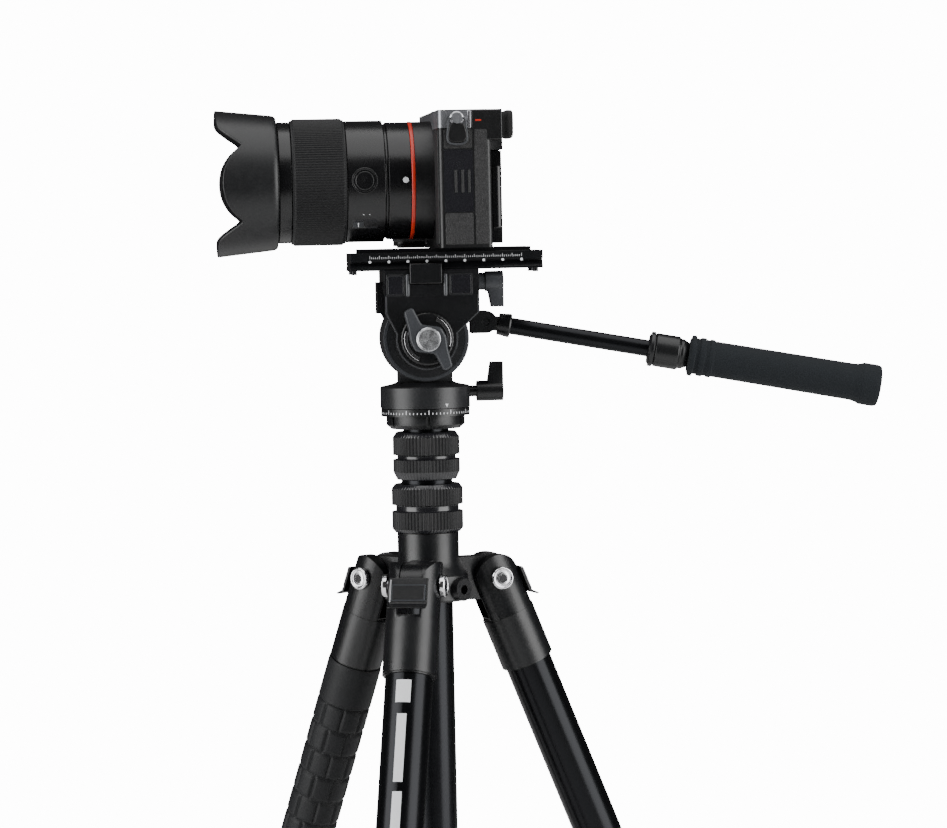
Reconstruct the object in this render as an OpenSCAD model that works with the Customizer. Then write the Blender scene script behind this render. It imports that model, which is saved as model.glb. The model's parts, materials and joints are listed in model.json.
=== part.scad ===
// Mirrorless camera with a hooded lens on a fluid-head tripod.
// Origin on the floor under the centre column, +Z up, lens towards -X.

/* [Legs] */
// Angle between a standing leg and the column
leg_angle = 22; // [16:1:26]
// Distance from the column axis to a leg hinge
hinge_radius = 36; // [35:1:44]
// Turn of the three legs about the column
leg_turn = 13.5; // [0:0.5:60]
// Length of the upper leg tube
upper_tube_len = 328; // [240:1:420]
// Outer radius of the upper leg tube
upper_tube_r = 12.5; // [12:0.1:13.2]
// Length of the middle leg tube
middle_tube_len = 324; // [220:1:330]
// Length of the lower leg tube
lower_tube_len = 350; // [220:1:352]
// Wall of the leg tubes
tube_wall = 1.2; // [0.8:0.1:1.3]
// Radial play between one leg tube and the next
tube_play = 0.5; // [0.4:0.1:1.2]
// Length of a leg lock collar
lock_len = 42; // [34:1:50]
// Radius of the ball end of a foot
foot_r = 13; // [11:0.5:16]
// Length of the rubber grip on the left leg
leg_grip_len = 192; // [100:1:230]

/* [Leg forks] */
// Half width of the fork across both ears
fork_half_w = 14; // [13:0.5:16]
// Radius of the rounded ear about the hinge
ear_r = 12.5; // [11:0.5:13]
// Half width of the slot between the ears
slot_half_w = 6; // [5:0.5:7]
// Radius of a hinge bolt's shank
bolt_r = 3; // [2.5:0.1:3.5]
// Radius of a hinge bolt's head
bolt_head_r = 6; // [5:0.5:7]
// Wall of the sleeve that holds the upper tube
sleeve_wall = 1.75; // [1.4:0.05:2.5]
// Distance from the hinge to the end of the sleeve
sleeve_end = 50; // [40:1:60]

/* [Column] */
// Outer radius of the centre column
column_r = 12.5; // [11.6:0.1:13]
// Length of the column below the hinges
column_drop = 250; // [120:5:280]
// Radial play between the column and its extension
column_play = 0.4; // [0.3:0.1:1]
// Depth of the column lock around the column
column_lock_wall = 6.4; // [5:0.1:8]
// Depth of the extension lock around the column
extension_lock_wall = 5.25; // [4.5:0.05:7]

/* [Head] */
// Height of the tilt axis above the hinges
tilt_up = 128.5; // [128:0.5:136]
// Radius of the fixed tilt drum
drum_r = 22.8; // [20:0.1:23]
// Half width of the fixed tilt drum
drum_half_w = 15; // [10:0.5:16]
// Half width of the tilting body
body_half_w = 22; // [20:0.5:24]
// Radius of the pan housing
pan_r = 23.8; // [22:0.1:26]

/* [Handle] */
// Downward slope of the pan handle
handle_slope = 10.5; // [0:0.5:25]
// Distance from the handle hinge to the collar
collar_at = 88.5; // [80:0.5:110]
// Length of the collar
collar_len = 21.5; // [16:0.5:30]
// Length of the foam grip
grip_len = 104; // [90:1:140]
// Radius of the handle rod
rod_r = 4.5; // [3.5:0.1:5.5]

/* [Quick plate] */
// Front end of the plate, ahead of the tilt axis
plate_front = 39.2; // [36:0.1:60]
// Rear end of the plate, behind the tilt axis
plate_rear = 62.3; // [55:0.1:80]
// Half width of the plate
plate_half_w = 19; // [18:0.5:22]
// Thickness of the plate
plate_t = 9.4; // [9:0.1:12]

/* [Camera] */
// Width of the camera body across its left side
camera_left = 52; // [48:1:60]
// Width of the camera body across its grip side
camera_right = 72; // [68:1:80]
// Depth of the camera shell
camera_depth = 27.5; // [26:1:36]
// Height of the camera
camera_h = 71.3; // [66:0.1:80]
// Height of the lens axis above the base
lens_up = 35.8; // [34:0.1:40]

/* [Lens] */
// Radius of the lens barrel
barrel_r = 31.85; // [30:0.05:34]
// Radius of the focus ring
focus_r = 33.4; // [33:0.1:36]
// Length of the focus ring
focus_len = 28.3; // [20:0.1:34]
// Length of the hood
hood_len = 32; // [26:0.5:45]
// Radius of the hood at its mouth
hood_r = 38.7; // [36:0.1:44]

/* [Hidden] */
$fn = 72;

// Gap between faces that move past each other, and the fit of a turning shaft
gap = 0.3;
fit = 0.05;

// Each tube slides in the one before it
middle_tube_r = upper_tube_r - tube_wall - tube_play;
lower_tube_r = middle_tube_r - tube_wall - tube_play;
extension_r = column_r - tube_wall - column_play;
sleeve_r = upper_tube_r + sleeve_wall;
column_lock_r = column_r + column_lock_wall;
extension_lock_r = column_r + extension_lock_wall;

// Stations along a leg, measured from its hinge
sleeve_start = 20;
latch_len = 17;
tube_start = 24;
upper_end = tube_start + upper_tube_len;
overlap = 10;
reveal = 4;
upper_lock_at = upper_end - overlap;
lower_lock_at = upper_lock_at + lock_len + reveal;
middle_end = lower_lock_at + overlap;
foot_at = lower_lock_at + lock_len + reveal;
foot_neck = 16;
lower_end = foot_at + foot_neck - 2;
foot_ball_at = foot_at + foot_neck;

// Clamp heights above the tilt axis, and half the width of the near jaw
block_top = 36.1;
ledge = block_top - 7.5;
lip_top = block_top + 3.6;
jaw_half_w = 8.5;

// Heights
hinge_z = foot_ball_at * cos(leg_angle) + foot_r;
tilt_z = hinge_z + tilt_up;
plate_z = tilt_z + block_top;
plate_top = plate_z + plate_t;
pad_t = 2.1;
base_z = plate_top + pad_t;
top_z = base_z + camera_h;
axis_z = base_z + lens_up;

// Pan housing between the scale ring and the drum, above the hinges
pan_low = 91.7;
pan_top = tilt_up - drum_r - gap;
pan_lever_up = pan_low + 8;

// Camera depths along X
focus_at = 40.7;
front_ring_at = focus_at + focus_len + gap;
hood_at = front_ring_at + 7;
shell_front = 5.5;
shell_corner = 2.5;
grip_front = shell_front - 16;
grip_back = shell_front + 8;
lug_x = shell_front + 9.8;
lug_up = 4.5;
shell_back = shell_front + camera_depth;
cover_t = 9.4;
cover_z = top_z - cover_t;

// Handle hinge from the tilt axis, the radius of its eye and the start of the rod
HANDLE = [34, 14.05, 7.5];
eye_r = 6;
rod_start = 9;

FRONT_LEG = 240 + leg_turn;
RIGHT_LEG = leg_turn;
LEFT_LEG = 120 + leg_turn;
socket_turn = 300 + leg_turn;

// Puts a shape drawn about a hinge, leg along -Z and outside along +X, in place
module on_leg(turn) {
    rotate([0, 0, turn])
        translate([hinge_radius, 0, hinge_z])
            rotate([0, -leg_angle, 0])
                children();
}

// A cylinder along a leg, from station a to station b
module leg_rod(r, a, b) {
    translate([0, 0, -b])
        cylinder(r = r, h = b - a);
}

// A cylinder along +Y from y = a to y = b
module rod_y(r, a, b) {
    translate([0, a, 0])
        rotate([-90, 0, 0])
            cylinder(r = r, h = b - a);
}

// A cylinder along +X from x = a to x = b
module rod_x(r, a, b) {
    translate([a, 0, 0])
        rotate([0, 90, 0])
            cylinder(r = r, h = b - a);
}

// A box from two corners
module box(low, high) {
    translate(low)
        cube(high - low);
}

// A tube along a leg
module leg_tube(r, a, b) {
    difference() {
        leg_rod(r, a, b);
        leg_rod(r - tube_wall, a - 1, b + 1);
    }
}

// A flat plate in X and Y with round corners
module round_plate(low, high, r, z0, z1) {
    translate([0, 0, z0])
        linear_extrude(z1 - z0) {
            translate([low[0] + r, low[1]])
                square([high[0] - low[0] - 2 * r, high[1] - low[1]]);
            translate([low[0], low[1] + r])
                square([high[0] - low[0], high[1] - low[1] - 2 * r]);
            for (x = [low[0] + r, high[0] - r], y = [low[1] + r, high[1] - r])
                translate([x, y])
                    circle(r);
        }
}

// ---- Legs ----

// Forked casting: two ears about the hinge, a neck and the sleeve for the upper tube
module leg_yoke(turn) {
    color("#26272a")
        on_leg(turn)
            difference() {
                union() {
                    intersection() {
                        leg_rod(fork_half_w, -ear_r - 1, sleeve_start + 1);
                        union() {
                            rod_y(ear_r, -fork_half_w, fork_half_w);
                            box([-ear_r, -fork_half_w, -sleeve_start - 1], [ear_r, fork_half_w, 0]);
                        }
                    }
                    leg_rod(sleeve_r - 0.8, sleeve_start, sleeve_end);
                    leg_rod(sleeve_r, sleeve_start + 0.8, sleeve_end - 0.8);
                }
                box([-20, -slot_half_w, -sleeve_start + 1], [20, slot_half_w, 20]);
                rod_y(bolt_r + fit, -20, 20);
                leg_rod(upper_tube_r + fit, tube_start, sleeve_end + 1);
            }
}

// Sprung angle latch on the outside of the fork, with a flared thumb lip
module leg_latch(turn) {
    color("#55585d")
        on_leg(turn) {
            box([ear_r + gap, -10, -latch_len], [ear_r + 2, 10, 0]);
            translate([ear_r + gap, 0, 1 - latch_len])
                rotate([0, -35, 0])
                    box([0, -10, -1.6], [6.5, 10, 0]);
        }
}

module leg_upper_tube(turn) {
    color("#1d1f22")
        on_leg(turn)
            leg_tube(upper_tube_r, tube_start, upper_end);
}

// Twist lock collar: outside bands and a groove, and a bore with two steps
module leg_lock(turn, at, outer_tube_r, inner_tube_r) {
    outer = outer_tube_r + 3.2;
    color("#131415")
        on_leg(turn)
            difference() {
                union() {
                    leg_rod(outer - 1, at, at + lock_len);
                    leg_rod(outer, at + 1.5, at + lock_len * 0.45);
                    leg_rod(outer, at + lock_len * 0.55, at + lock_len - 1.5);
                }
                leg_rod(outer_tube_r + gap, at - 1, at + overlap + gap);
                leg_rod(inner_tube_r + gap, at, at + lock_len + 1);
            }
}

module leg_upper_lock(turn) {
    leg_lock(turn, upper_lock_at, upper_tube_r, middle_tube_r);
}

module leg_lower_lock(turn) {
    leg_lock(turn, lower_lock_at, middle_tube_r, lower_tube_r);
}

module leg_middle_tube(turn) {
    color("#1d1f22")
        on_leg(turn)
            leg_tube(middle_tube_r, middle_end - middle_tube_len, middle_end);
}

// Lower tube with its rubber ball foot pressed on
module leg_lower_leg(turn) {
    on_leg(turn) {
        color("#1d1f22")
            leg_tube(lower_tube_r, lower_end - lower_tube_len, lower_end);
        color("#0f0f10")
            difference() {
                union() {
                    leg_rod(lower_tube_r + 2.4, foot_at, foot_ball_at);
                    translate([0, 0, -foot_ball_at])
                        sphere(r = foot_r);
                }
                leg_rod(lower_tube_r + fit, foot_at - 1, lower_end);
            }
    }
}

// Rubber sleeve with ring grooves
module leg_left_grip() {
    wall = 2.1;
    block = 14;
    plain = 24;
    start = sleeve_end + gap;
    blocks = floor((leg_grip_len - plain) / block);
    color("#232426")
        on_leg(LEFT_LEG)
            difference() {
                leg_rod(upper_tube_r + wall, start, start + leg_grip_len);
                leg_rod(upper_tube_r + fit, start - 1, start + leg_grip_len + 1);
                for (k = [0:blocks - 1])
                    translate([0, 0, -start - plain - k * block])
                        difference() {
                            cylinder(r = upper_tube_r + wall + 1, h = 1.4);
                            translate([0, 0, -1])
                                cylinder(r = upper_tube_r + wall - 1, h = 4);
                        }
            }
}

// ---- Spider and column ----

// Central casting: collar, flared hub, three tongues and a threaded accessory boss
module spider() {
    boss_z = -4.5;
    hub_low = 11;
    color("#26272a")
        translate([0, 0, hinge_z])
            difference() {
                union() {
                    rotate_extrude()
                        polygon([[0, -hub_low], [20, -hub_low], [21, 1 - hub_low], [21, 2.5], [18.2, 6.2],
                            [16.7, 9.2], [16.3, 10.6], [16.3, 25.2], [0, 25.2]]);
                    for (turn = [FRONT_LEG, RIGHT_LEG, LEFT_LEG])
                        rotate([0, 0, turn]) {
                            translate([hinge_radius, 0, 0])
                                rod_y(ear_r - 1, -slot_half_w + gap, slot_half_w - gap);
                            box([15, -slot_half_w + gap, -ear_r + 1],
                                [hinge_radius, slot_half_w - gap, ear_r - 1]);
                        }
                    rotate([0, 0, socket_turn])
                        translate([0, 0, boss_z])
                            rod_x(6, 15, 25);
                }
                translate([0, 0, -30])
                    cylinder(r = column_r + gap, h = 70);
                for (turn = [FRONT_LEG, RIGHT_LEG, LEFT_LEG])
                    rotate([0, 0, turn])
                        translate([hinge_radius, 0, 0])
                            rod_y(bolt_r + fit, -20, 20);
                rotate([0, 0, socket_turn])
                    translate([0, 0, boss_z])
                        rod_x(2.55, 17, 26);
            }
}

// Chromed hinge bolts with hexagon sockets
module hinge_bolts() {
    head_t = 3;
    color("#d6d8da")
        for (turn = [FRONT_LEG, RIGHT_LEG, LEFT_LEG])
            rotate([0, 0, turn])
                translate([hinge_radius, 0, hinge_z])
                    difference() {
                        union() {
                            rod_y(bolt_r, -fork_half_w - 1, fork_half_w + 1);
                            for (side = [0, 180])
                                rotate([0, 0, side]) {
                                    rod_y(bolt_head_r, fork_half_w + 0.2, fork_half_w + head_t - 0.5);
                                    rod_y(bolt_head_r - 0.8, fork_half_w + 1, fork_half_w + head_t);
                                }
                        }
                        for (side = [0, 180])
                            rotate([0, 0, side])
                                translate([0, fork_half_w + 1.2, 0])
                                    rotate([-90, 0, 0])
                                        cylinder(r = 3, h = 5, $fn = 6);
                    }
}

// A ribbed twist lock: two bands with a smooth groove between, drawn by heights
module twist_lock(r, groove_r, neck_r, z, bore, bore_top, step) {
    difference() {
        translate([0, 0, hinge_z])
            rotate_extrude()
                polygon([[0, z[0]], [neck_r, z[0]], [r, z[1]], [r, z[2]], [groove_r, z[2] + 0.5],
                    [groove_r, z[3] - 0.5], [r, z[3]], [r, z[4]], [neck_r, z[5]], [0, z[5]]]);
        translate([0, 0, hinge_z + z[0] - 1])
            cylinder(r = bore, h = step - z[0] + 1);
        translate([0, 0, hinge_z + z[0] - 1])
            cylinder(r = bore_top, h = z[5] - z[0] + 2);
    }
}

module column_lock() {
    color("#131415")
        twist_lock(column_lock_r, column_lock_r - 2.1, column_lock_r - 1.8,
            [25.5, 27.6, 36.6, 40.3, 48.8, 51.2], column_r + gap, column_r + gap, 51.2);
}

// Centre column with the fitting that the extension lock turns on
module column_tube() {
    top = 66;
    color("#1d1f22")
        translate([0, 0, hinge_z])
            difference() {
                union() {
                    translate([0, 0, -column_drop])
                        cylinder(r = column_r, h = column_drop + top);
                    translate([0, 0, 51.5])
                        cylinder(r = column_r + 1, h = 1.8);
                }
                translate([0, 0, -column_drop - 1])
                    cylinder(r = column_r - tube_wall, h = column_drop + top + 2);
            }
}

// Plug in the foot of the column, with a ballast hook
module column_hook() {
    plug_r = column_r - tube_wall - fit;
    color("#3a3c40")
        translate([0, 0, hinge_z - column_drop]) {
            translate([0, 0, -6])
                cylinder(r = column_r, h = 6);
            cylinder(r = plug_r, h = 8);
            translate([0, 0, -12])
                cylinder(r = 3, h = 8);
            translate([0, 1.6, -18.8])
                rotate([90, 0, 0])
                    rotate_extrude(angle = 300)
                        translate([7, 0])
                            square([2.6, 3.2]);
        }
}

module extension_lock() {
    color("#131415")
        twist_lock(extension_lock_r, extension_lock_r - 2.35, extension_lock_r - 2,
            [53.6, 57.8, 64.2, 66.8, 76, 78.9], column_r + gap, extension_r + gap, 66.3);
}

module extension_tube() {
    color("#1d1f22")
        translate([0, 0, hinge_z])
            difference() {
                union() {
                    translate([0, 0, -160])
                        cylinder(r = extension_r, h = 240);
                    translate([0, 0, 79.2])
                        cylinder(r = 12, h = 1.4);
                }
                translate([0, 0, -161])
                    cylinder(r = extension_r - tube_wall, h = 235);
            }
}

// ---- Fluid head ----

// Fixed base: slotted lower ring, scale ring and the spindle the head pans on
module mount_base() {
    low = 80.6;
    color("#26272a")
        translate([0, 0, hinge_z])
            difference() {
                union() {
                    rotate_extrude()
                        polygon([[0, low], [18.2, low], [20.8, low + 2.2], [20.8, low + 6.9],
                            [23.5, low + 6.9], [23.5, low + 10.8], [0, low + 10.8]]);
                    translate([0, 0, low + 10])
                        cylinder(r = 8, h = 10);
                }
                for (k = [0:5])
                    rotate([0, 0, 30 + 60 * k])
                        box([19.6, -0.7, low - 1], [22, 0.7, low + 6.9]);
            }
}

// Panning housing with a concave shoulder up to the drum's foot
module pan_housing() {
    low = pan_low;
    color("#2b2c2f")
        translate([0, 0, hinge_z])
            difference() {
                rotate_extrude()
                    polygon([[0, low], [pan_r, low], [pan_r, pan_top - 2.8], [pan_r - 0.6, pan_top - 2.2],
                        [20, pan_top - 1.6], [17, pan_top - 0.9], [15, pan_top], [0, pan_top]]);
                translate([0, 0, low - 1])
                    cylinder(r = 8 + fit, h = 10.2);
                translate([0, 0, pan_lever_up])
                    rod_x(3 + fit, 14, 30);
            }
}

// Lock lever on a stem along X, with a tapered arm turned about the stem from straight up
module lock_lever(stem_from, stem_to, hub_to, arm, arm_turn) {
    rod_x(3, stem_from, stem_to + 1);
    rod_x(5.4, stem_to, hub_to);
    rotate([arm_turn, 0, 0])
        translate([0, 4, 0])
            rotate([90, 0, 0])
                linear_extrude(8)
                    polygon([[hub_to - 9, 0], [hub_to, 0], [hub_to, arm], [hub_to - 6.5, arm]]);
}

module pan_lever() {
    color("#1b1c1e")
        translate([0, 0, hinge_z + pan_lever_up])
            lock_lever(16, 27.5, 41.5, 15.3, 0);
}

// Fixed drum on a foot, with the axle that the head tilts on
module tilt_drum() {
    color("#8d9094")
        translate([0, 0, tilt_z])
            difference() {
                union() {
                    rod_y(drum_r, -drum_half_w, drum_half_w);
                    rod_y(6, -body_half_w + 1, body_half_w - 1);
                    box([-14, -10, pan_top - tilt_up], [14, 10, -14]);
                }
                rod_y(3 + fit, -body_half_w, -8);
            }
}

// Tilting body: a cheek on each side, the clamp block above and the far jaw
module tilt_body() {
    cheek_in = drum_half_w + gap;
    front = -21.6;
    back = 28;
    shoulder = 13.5;
    block_low = drum_r + 0.7;
    color("#1e1f22")
        translate([0, 0, tilt_z])
            difference() {
                union() {
                    for (side = [-1, 1])
                        translate([0, side > 0 ? body_half_w : -cheek_in, 0])
                            rotate([90, 0, 0])
                                linear_extrude(body_half_w - cheek_in) {
                                    circle(r = 16.5);
                                    polygon([[-16.3, 3], [front, shoulder], [front, block_low + 3],
                                        [back, block_low + 3], [back, shoulder], [16.3, 3]]);
                                }
                    box([front, -body_half_w, block_low], [back, body_half_w, block_top]);
                    translate([back, 0, 0])
                        rotate([90, 0, -90])
                            linear_extrude(back - front)
                                polygon([[-body_half_w - 2, ledge], [-body_half_w + 4, ledge],
                                    [-plate_half_w - gap, block_top],
                                    [-plate_half_w - gap, block_top + 1.3],
                                    [-plate_half_w + 2, lip_top], [-body_half_w - 2, lip_top]]);
                    box([front - 3.2, -8, shoulder], [front + 1, 8, 30]);
                    for (side = [-6.05, 4.45])
                        translate([HANDLE[0], HANDLE[1] + side, HANDLE[2]]) {
                            rod_y(eye_r, 0, 1.6);
                            box([back - HANDLE[0] - 2, 0, -eye_r], [0, 1.6, eye_r]);
                        }
                }
                box([-jaw_half_w - gap, -body_half_w - 1, ledge],
                    [jaw_half_w + gap, -17.5, block_top + 1]);
                rod_y(6 + fit, -body_half_w - 1, body_half_w + 1);
                translate([HANDLE[0], 0, HANDLE[2]])
                    rod_y(2 + fit, 7, 22);
                translate([0, -12, 29.5])
                    rod_x(3 + fit, back - 12, back + 1);
            }
}

// Butterfly knob for the tilt lock, on a stem in the axle
module tilt_knob() {
    near = -body_half_w - gap;
    color("#5d6065")
        translate([0, 0, tilt_z]) {
            rod_y(3, near - 1, -12);
            rod_y(14, near - 3, near);
            rod_y(8, near - 10, near - 2);
            rotate([0, 30, 0])
                for (side = [0, 180])
                    rotate([0, side, 0])
                        translate([0, near - 10, 0])
                            rotate([-90, 0, 0])
                                linear_extrude(8)
                                    difference() {
                                        translate([-6.5, 0])
                                            square([10, 19]);
                                        translate([-10.5, 14])
                                            circle(r = 6.5);
                                        translate([12, 12])
                                            circle(r = 10);
                                    }
        }
    color("#d0d2d4")
        translate([0, 0, tilt_z])
            rod_y(6, near - 10.6, near - 10);
}

// Near jaw that closes on the plate
module clamp_jaw() {
    outer = body_half_w + 1.5;
    inner = plate_half_w + gap;
    color("#141517")
        translate([jaw_half_w, 0, tilt_z])
            rotate([90, 0, -90])
                linear_extrude(2 * jaw_half_w)
                    polygon([[outer, ledge + gap], [17.8, ledge + gap], [17.8, block_top - gap],
                        [inner, block_top - gap], [inner, block_top + 1.3],
                        [plate_half_w - 2, lip_top], [outer, lip_top]]);
}

module clamp_lever() {
    color("#34363a")
        translate([0, -12, tilt_z + 29.5]) {
            lock_lever(18, 32, 41.5, 13.5, 180);
            rod_x(4.6, 28 + gap, 32);
        }
}

// Dovetail plate with a screw slot, rubber pads and stop pins
module quick_plate() {
    w = plate_half_w;
    color("#17181a")
        difference() {
            union() {
                translate([plate_rear, 0, plate_z])
                    rotate([90, 0, -90])
                        linear_extrude(plate_rear + plate_front)
                            polygon([[-w, 0], [w, 0], [w, 1.2], [w - 3, 4.2], [w - 3, 5],
                                [w, 5], [w, plate_t], [-w, plate_t], [-w, 5], [-w + 3, 5],
                                [-w + 3, 4.2], [-w, 1.2]]);
                for (x = [-plate_front + 2.2, plate_rear - 3.3], y = [-12, 12])
                    translate([x, y, plate_z - 2])
                        cylinder(r = 1.5, h = 3);
            }
            box([-18, -3.3, plate_z - 1], [45, 3.3, plate_top + 1]);
            box([-22, -8.4, plate_z - 1], [49, 8.4, plate_z + 3.8]);
        }
    color("#0e0e0f")
        for (y = [-14.5, 8])
            box([-plate_front + 5, y, plate_top], [plate_rear - 6, y + 6.5, base_z]);
}

// Camera screw with a slotted head that runs in the plate
module camera_screw() {
    x = 15;
    color("#b9bcc0")
        translate([x, 0, 0])
            difference() {
                union() {
                    translate([0, 0, plate_z + 0.6])
                        cylinder(r = 8, h = 3.2);
                    translate([0, 0, plate_z + 2])
                        cylinder(r = 3.1, h = base_z + 5 - plate_z - 2);
                }
                box([-9, -0.8, plate_z], [9, 0.8, plate_z + 2]);
            }
}

// ---- Pan handle ----

// Puts a shape drawn along +X from the handle hinge in place
module on_handle() {
    translate([HANDLE[0], HANDLE[1], tilt_z + HANDLE[2]])
        rotate([0, handle_slope, -5])
            children();
}

module handle_socket() {
    color("#202124")
        difference() {
            union() {
                translate([HANDLE[0], HANDLE[1], tilt_z + HANDLE[2]]) {
                    rod_y(eye_r, -4.1, 4.1);
                    rod_y(2, -5.6, 5.6);
                }
                on_handle() {
                    rod_x(3.9, 0, 9);
                    rotate([0, 90, 0])
                        rotate_extrude()
                            polygon([[0, eye_r + 1], [5.7, eye_r + 1], [6.4, 13.2], [6, 14], [0, 14]]);
                }
            }
            on_handle()
                rod_x(rod_r + fit, rod_start, 15);
        }
}

module handle_rod() {
    color("#1d1f22")
        on_handle()
            rod_x(rod_r, rod_start, collar_at + 61.5);
}

// Collar that locks the handle's length, with a front flange
module handle_collar() {
    end = collar_at + collar_len;
    color("#1b1c1e")
        on_handle()
            difference() {
                union() {
                    rod_x(8.2, collar_at, end);
                    rod_x(9.35, collar_at + 0.8, collar_at + 3);
                    rod_x(9, collar_at + 4, end - 5);
                }
                rod_x(rod_r + gap, collar_at - 1, end + 1);
            }
}

module handle_grip() {
    start = collar_at + collar_len + gap;
    end = start + grip_len;
    color("#2c2e31")
        on_handle()
            difference() {
                union() {
                    rod_x(9.5, start, end);
                    rod_x(11, start + 1, start + 3);
                    rod_x(10.4, start + 5, start + 13);
                    rod_x(11.3, end - 12, end - 1);
                }
                rod_x(rod_r + gap, start - 1, end - 4);
            }
}

// ---- Camera ----

// Main shell with the lens throat, the battery well and the recesses for its doors
module camera_body() {
    color("#1a1b1d")
        difference() {
            union() {
                round_plate([shell_front, -camera_left], [shell_back, camera_right], shell_corner,
                    base_z, cover_z);
                round_plate([grip_front, 44], [grip_back, camera_right], 5, base_z + 1, cover_z);
                box([shell_back - 1, -50, base_z + 50 + gap], [shell_back + 6, -20, cover_z]);
                translate([0, 0, axis_z])
                    rod_x(31, -4.7, shell_front);
            }
            translate([0, 0, axis_z])
                rod_x(23, -6, shell_front + 19);
            box([shell_front + 10, -22, axis_z - 20], [shell_front + 20, 22, axis_z + 20]);
            box([shell_front - 12.5, 45.5, base_z - 1], [shell_front + 10.5, 66.5, base_z + 46]);
            box([shell_front - 14.3, 43.7, base_z - 1], [shell_front + 12.3, 68.3, base_z + 2 + gap]);
            box([shell_front + 2.7, -camera_left - 1, base_z + 19 - gap],
                [shell_front + 17.5 + gap, -camera_left + 2 + gap, base_z + 50 + gap]);
            translate([15, 0, base_z - 1])
                cylinder(r = 3.1 + fit, h = 6.5);
            translate([shell_front - 7, 58, cover_z - 3])
                cylinder(r = 4 + gap, h = 4);
        }
}

// Top cover with the accessory shoe, the dial well and the strap lug
module camera_top_cover() {
    shoe = 9.3;
    color("#a9acb0")
        difference() {
            union() {
                round_plate([shell_front, -camera_left], [shell_back, camera_right], shell_corner,
                    cover_z, top_z);
                round_plate([grip_front, 44], [grip_back, camera_right], 5, cover_z, top_z - 6);
                box([shell_back - 1, -50, cover_z], [shell_back + 6, -20, top_z]);
                translate([lug_x, 0, top_z - lug_up])
                    rod_y(2.85, -camera_left - 3.4, -camera_left + 1);
            }
            box([shell_front + 2, -shoe, top_z - 2], [shell_back + 1, shoe, top_z + 1]);
            box([shell_front + 2, -6.3, top_z - 4], [shell_back + 1, 6.3, top_z - 1]);
            translate([shell_front + 14, 50, top_z - 4])
                cylinder(r = 9 + gap, h = 5);
            translate([shell_front + 14, 50, top_z - 8])
                cylinder(r = 3 + fit, h = 5);
            translate([shell_front - 7, 58, cover_z - 1])
                cylinder(r = 4 + gap, h = 12);
            translate([lug_x, -camera_left - 1.8, top_z - lug_up])
                rod_x(0.9 + fit, -6, 6);
        }
}

// Side-hinged screen
module monitor() {
    x = shell_back + gap;
    color("#101113") {
        box([x, -40, base_z + 2], [x + 5.9, 34, base_z + 50]);
        translate([x + 2.95, -40, base_z + 10])
            cylinder(r = 2.95, h = 32);
    }
}

// Rubber eyecup around the viewfinder window
module eyecup() {
    x = shell_back + 6;
    color("#0d0d0e")
        difference() {
            box([x, -50, base_z + 56], [x + 6, -20, base_z + 71]);
            box([x + 1.5, -44, base_z + 59.5], [x + 7, -26, base_z + 67.5]);
        }
}

module image_sensor() {
    color("#2f3f66")
        box([shell_front + 15, -20, axis_z - 14], [shell_front + 20, 20, axis_z + 14]);
}

// Door over the memory card slots, with finger ribs
module card_door() {
    y = -camera_left;
    color("#17181a") {
        box([shell_front + 4, y, base_z + 19], [shell_front + 17.5, y + 2, base_z + 50]);
        translate([shell_front + 4, y + 1, base_z + 19])
            cylinder(r = 1, h = 31);
        for (k = [0:2])
            translate([shell_front + 8.2 + 3.5 * k, 0, 0])
                box([0, y - 0.6, base_z + 28.5], [1.2, y + 0.1, base_z + 40]);
    }
}

module battery_door() {
    color("#17181a") {
        box([shell_front - 14, 45, base_z], [shell_front + 12, 68, base_z + 2]);
        translate([0, 45, base_z + 1])
            rod_x(1, shell_front - 14, shell_front + 12);
    }
}

module battery() {
    color("#3b3d42")
        box([shell_front - 12, 46, base_z + 2 + gap], [shell_front + 10, 66, base_z + 45]);
}

// Wire ring through the lug with a leather guard
module strap_ring() {
    half = 5;
    drop = 12;
    translate([lug_x, -camera_left - 1.8, top_z - lug_up]) {
        color("#c4c6c9") {
            rod_x(0.9, -half, half);
            for (x = [-half, half])
                translate([x, 0, -drop])
                    cylinder(r = 0.9, h = drop + 0.5);
            translate([0, 0, -drop])
                rod_x(0.9, -half - 0.5, half + 0.5);
        }
        color("#161616")
            box([-half + 0.5, -0.7, -drop - 2], [half - 0.5, 0.7, -4]);
    }
}

module shutter_button() {
    color("#c4c6c9")
        translate([shell_front - 7, 58, cover_z - 1])
            cylinder(r = 4, h = top_z - 6 - cover_z + 3.5);
}

// Knurled mode dial on a pin
module mode_dial() {
    color("#1a1b1d")
        translate([shell_front + 14, 50, top_z - 4 + gap]) {
            difference() {
                cylinder(r = 9, h = 6);
                for (k = [0:23])
                    rotate([0, 0, 15 * k])
                        translate([9.4, 0, 1.5])
                            cylinder(r = 0.7, h = 6, $fn = 8);
            }
            translate([0, 0, -3])
                cylinder(r = 3, h = 4);
        }
}

// ---- Lens ----

// Puts a shape drawn with its optical axis along +Z in place, front towards -X
module on_lens() {
    translate([0, 0, axis_z])
        rotate([0, -90, 0])
            children();
}

module lens_barrel() {
    bore = 24.5;
    color("#141517")
        difference() {
            on_lens()
                rotate_extrude()
                    polygon([[bore, 4.7], [31.2, 4.7], [31.2, 6.8], [31, 6.8], [31, 18.8],
                        [30.2, 19], [30.2, 20.2], [barrel_r, 20.4], [barrel_r, focus_at - gap],
                        [29, focus_at - gap], [29, front_ring_at], [32, front_ring_at],
                        [32, hood_at - gap], [30, hood_at - gap], [30, hood_at + 3], [bore, hood_at + 3]]);
            translate([-31.5, 0, axis_z])
                rod_y(5 + gap, -barrel_r - 1, -28.5);
            translate([0, 0, axis_z])
                rotate([45, 0, 0])
                    box([-38, -barrel_r - 1, -2.3], [-25, -30, 2.3]);
        }
}

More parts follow.
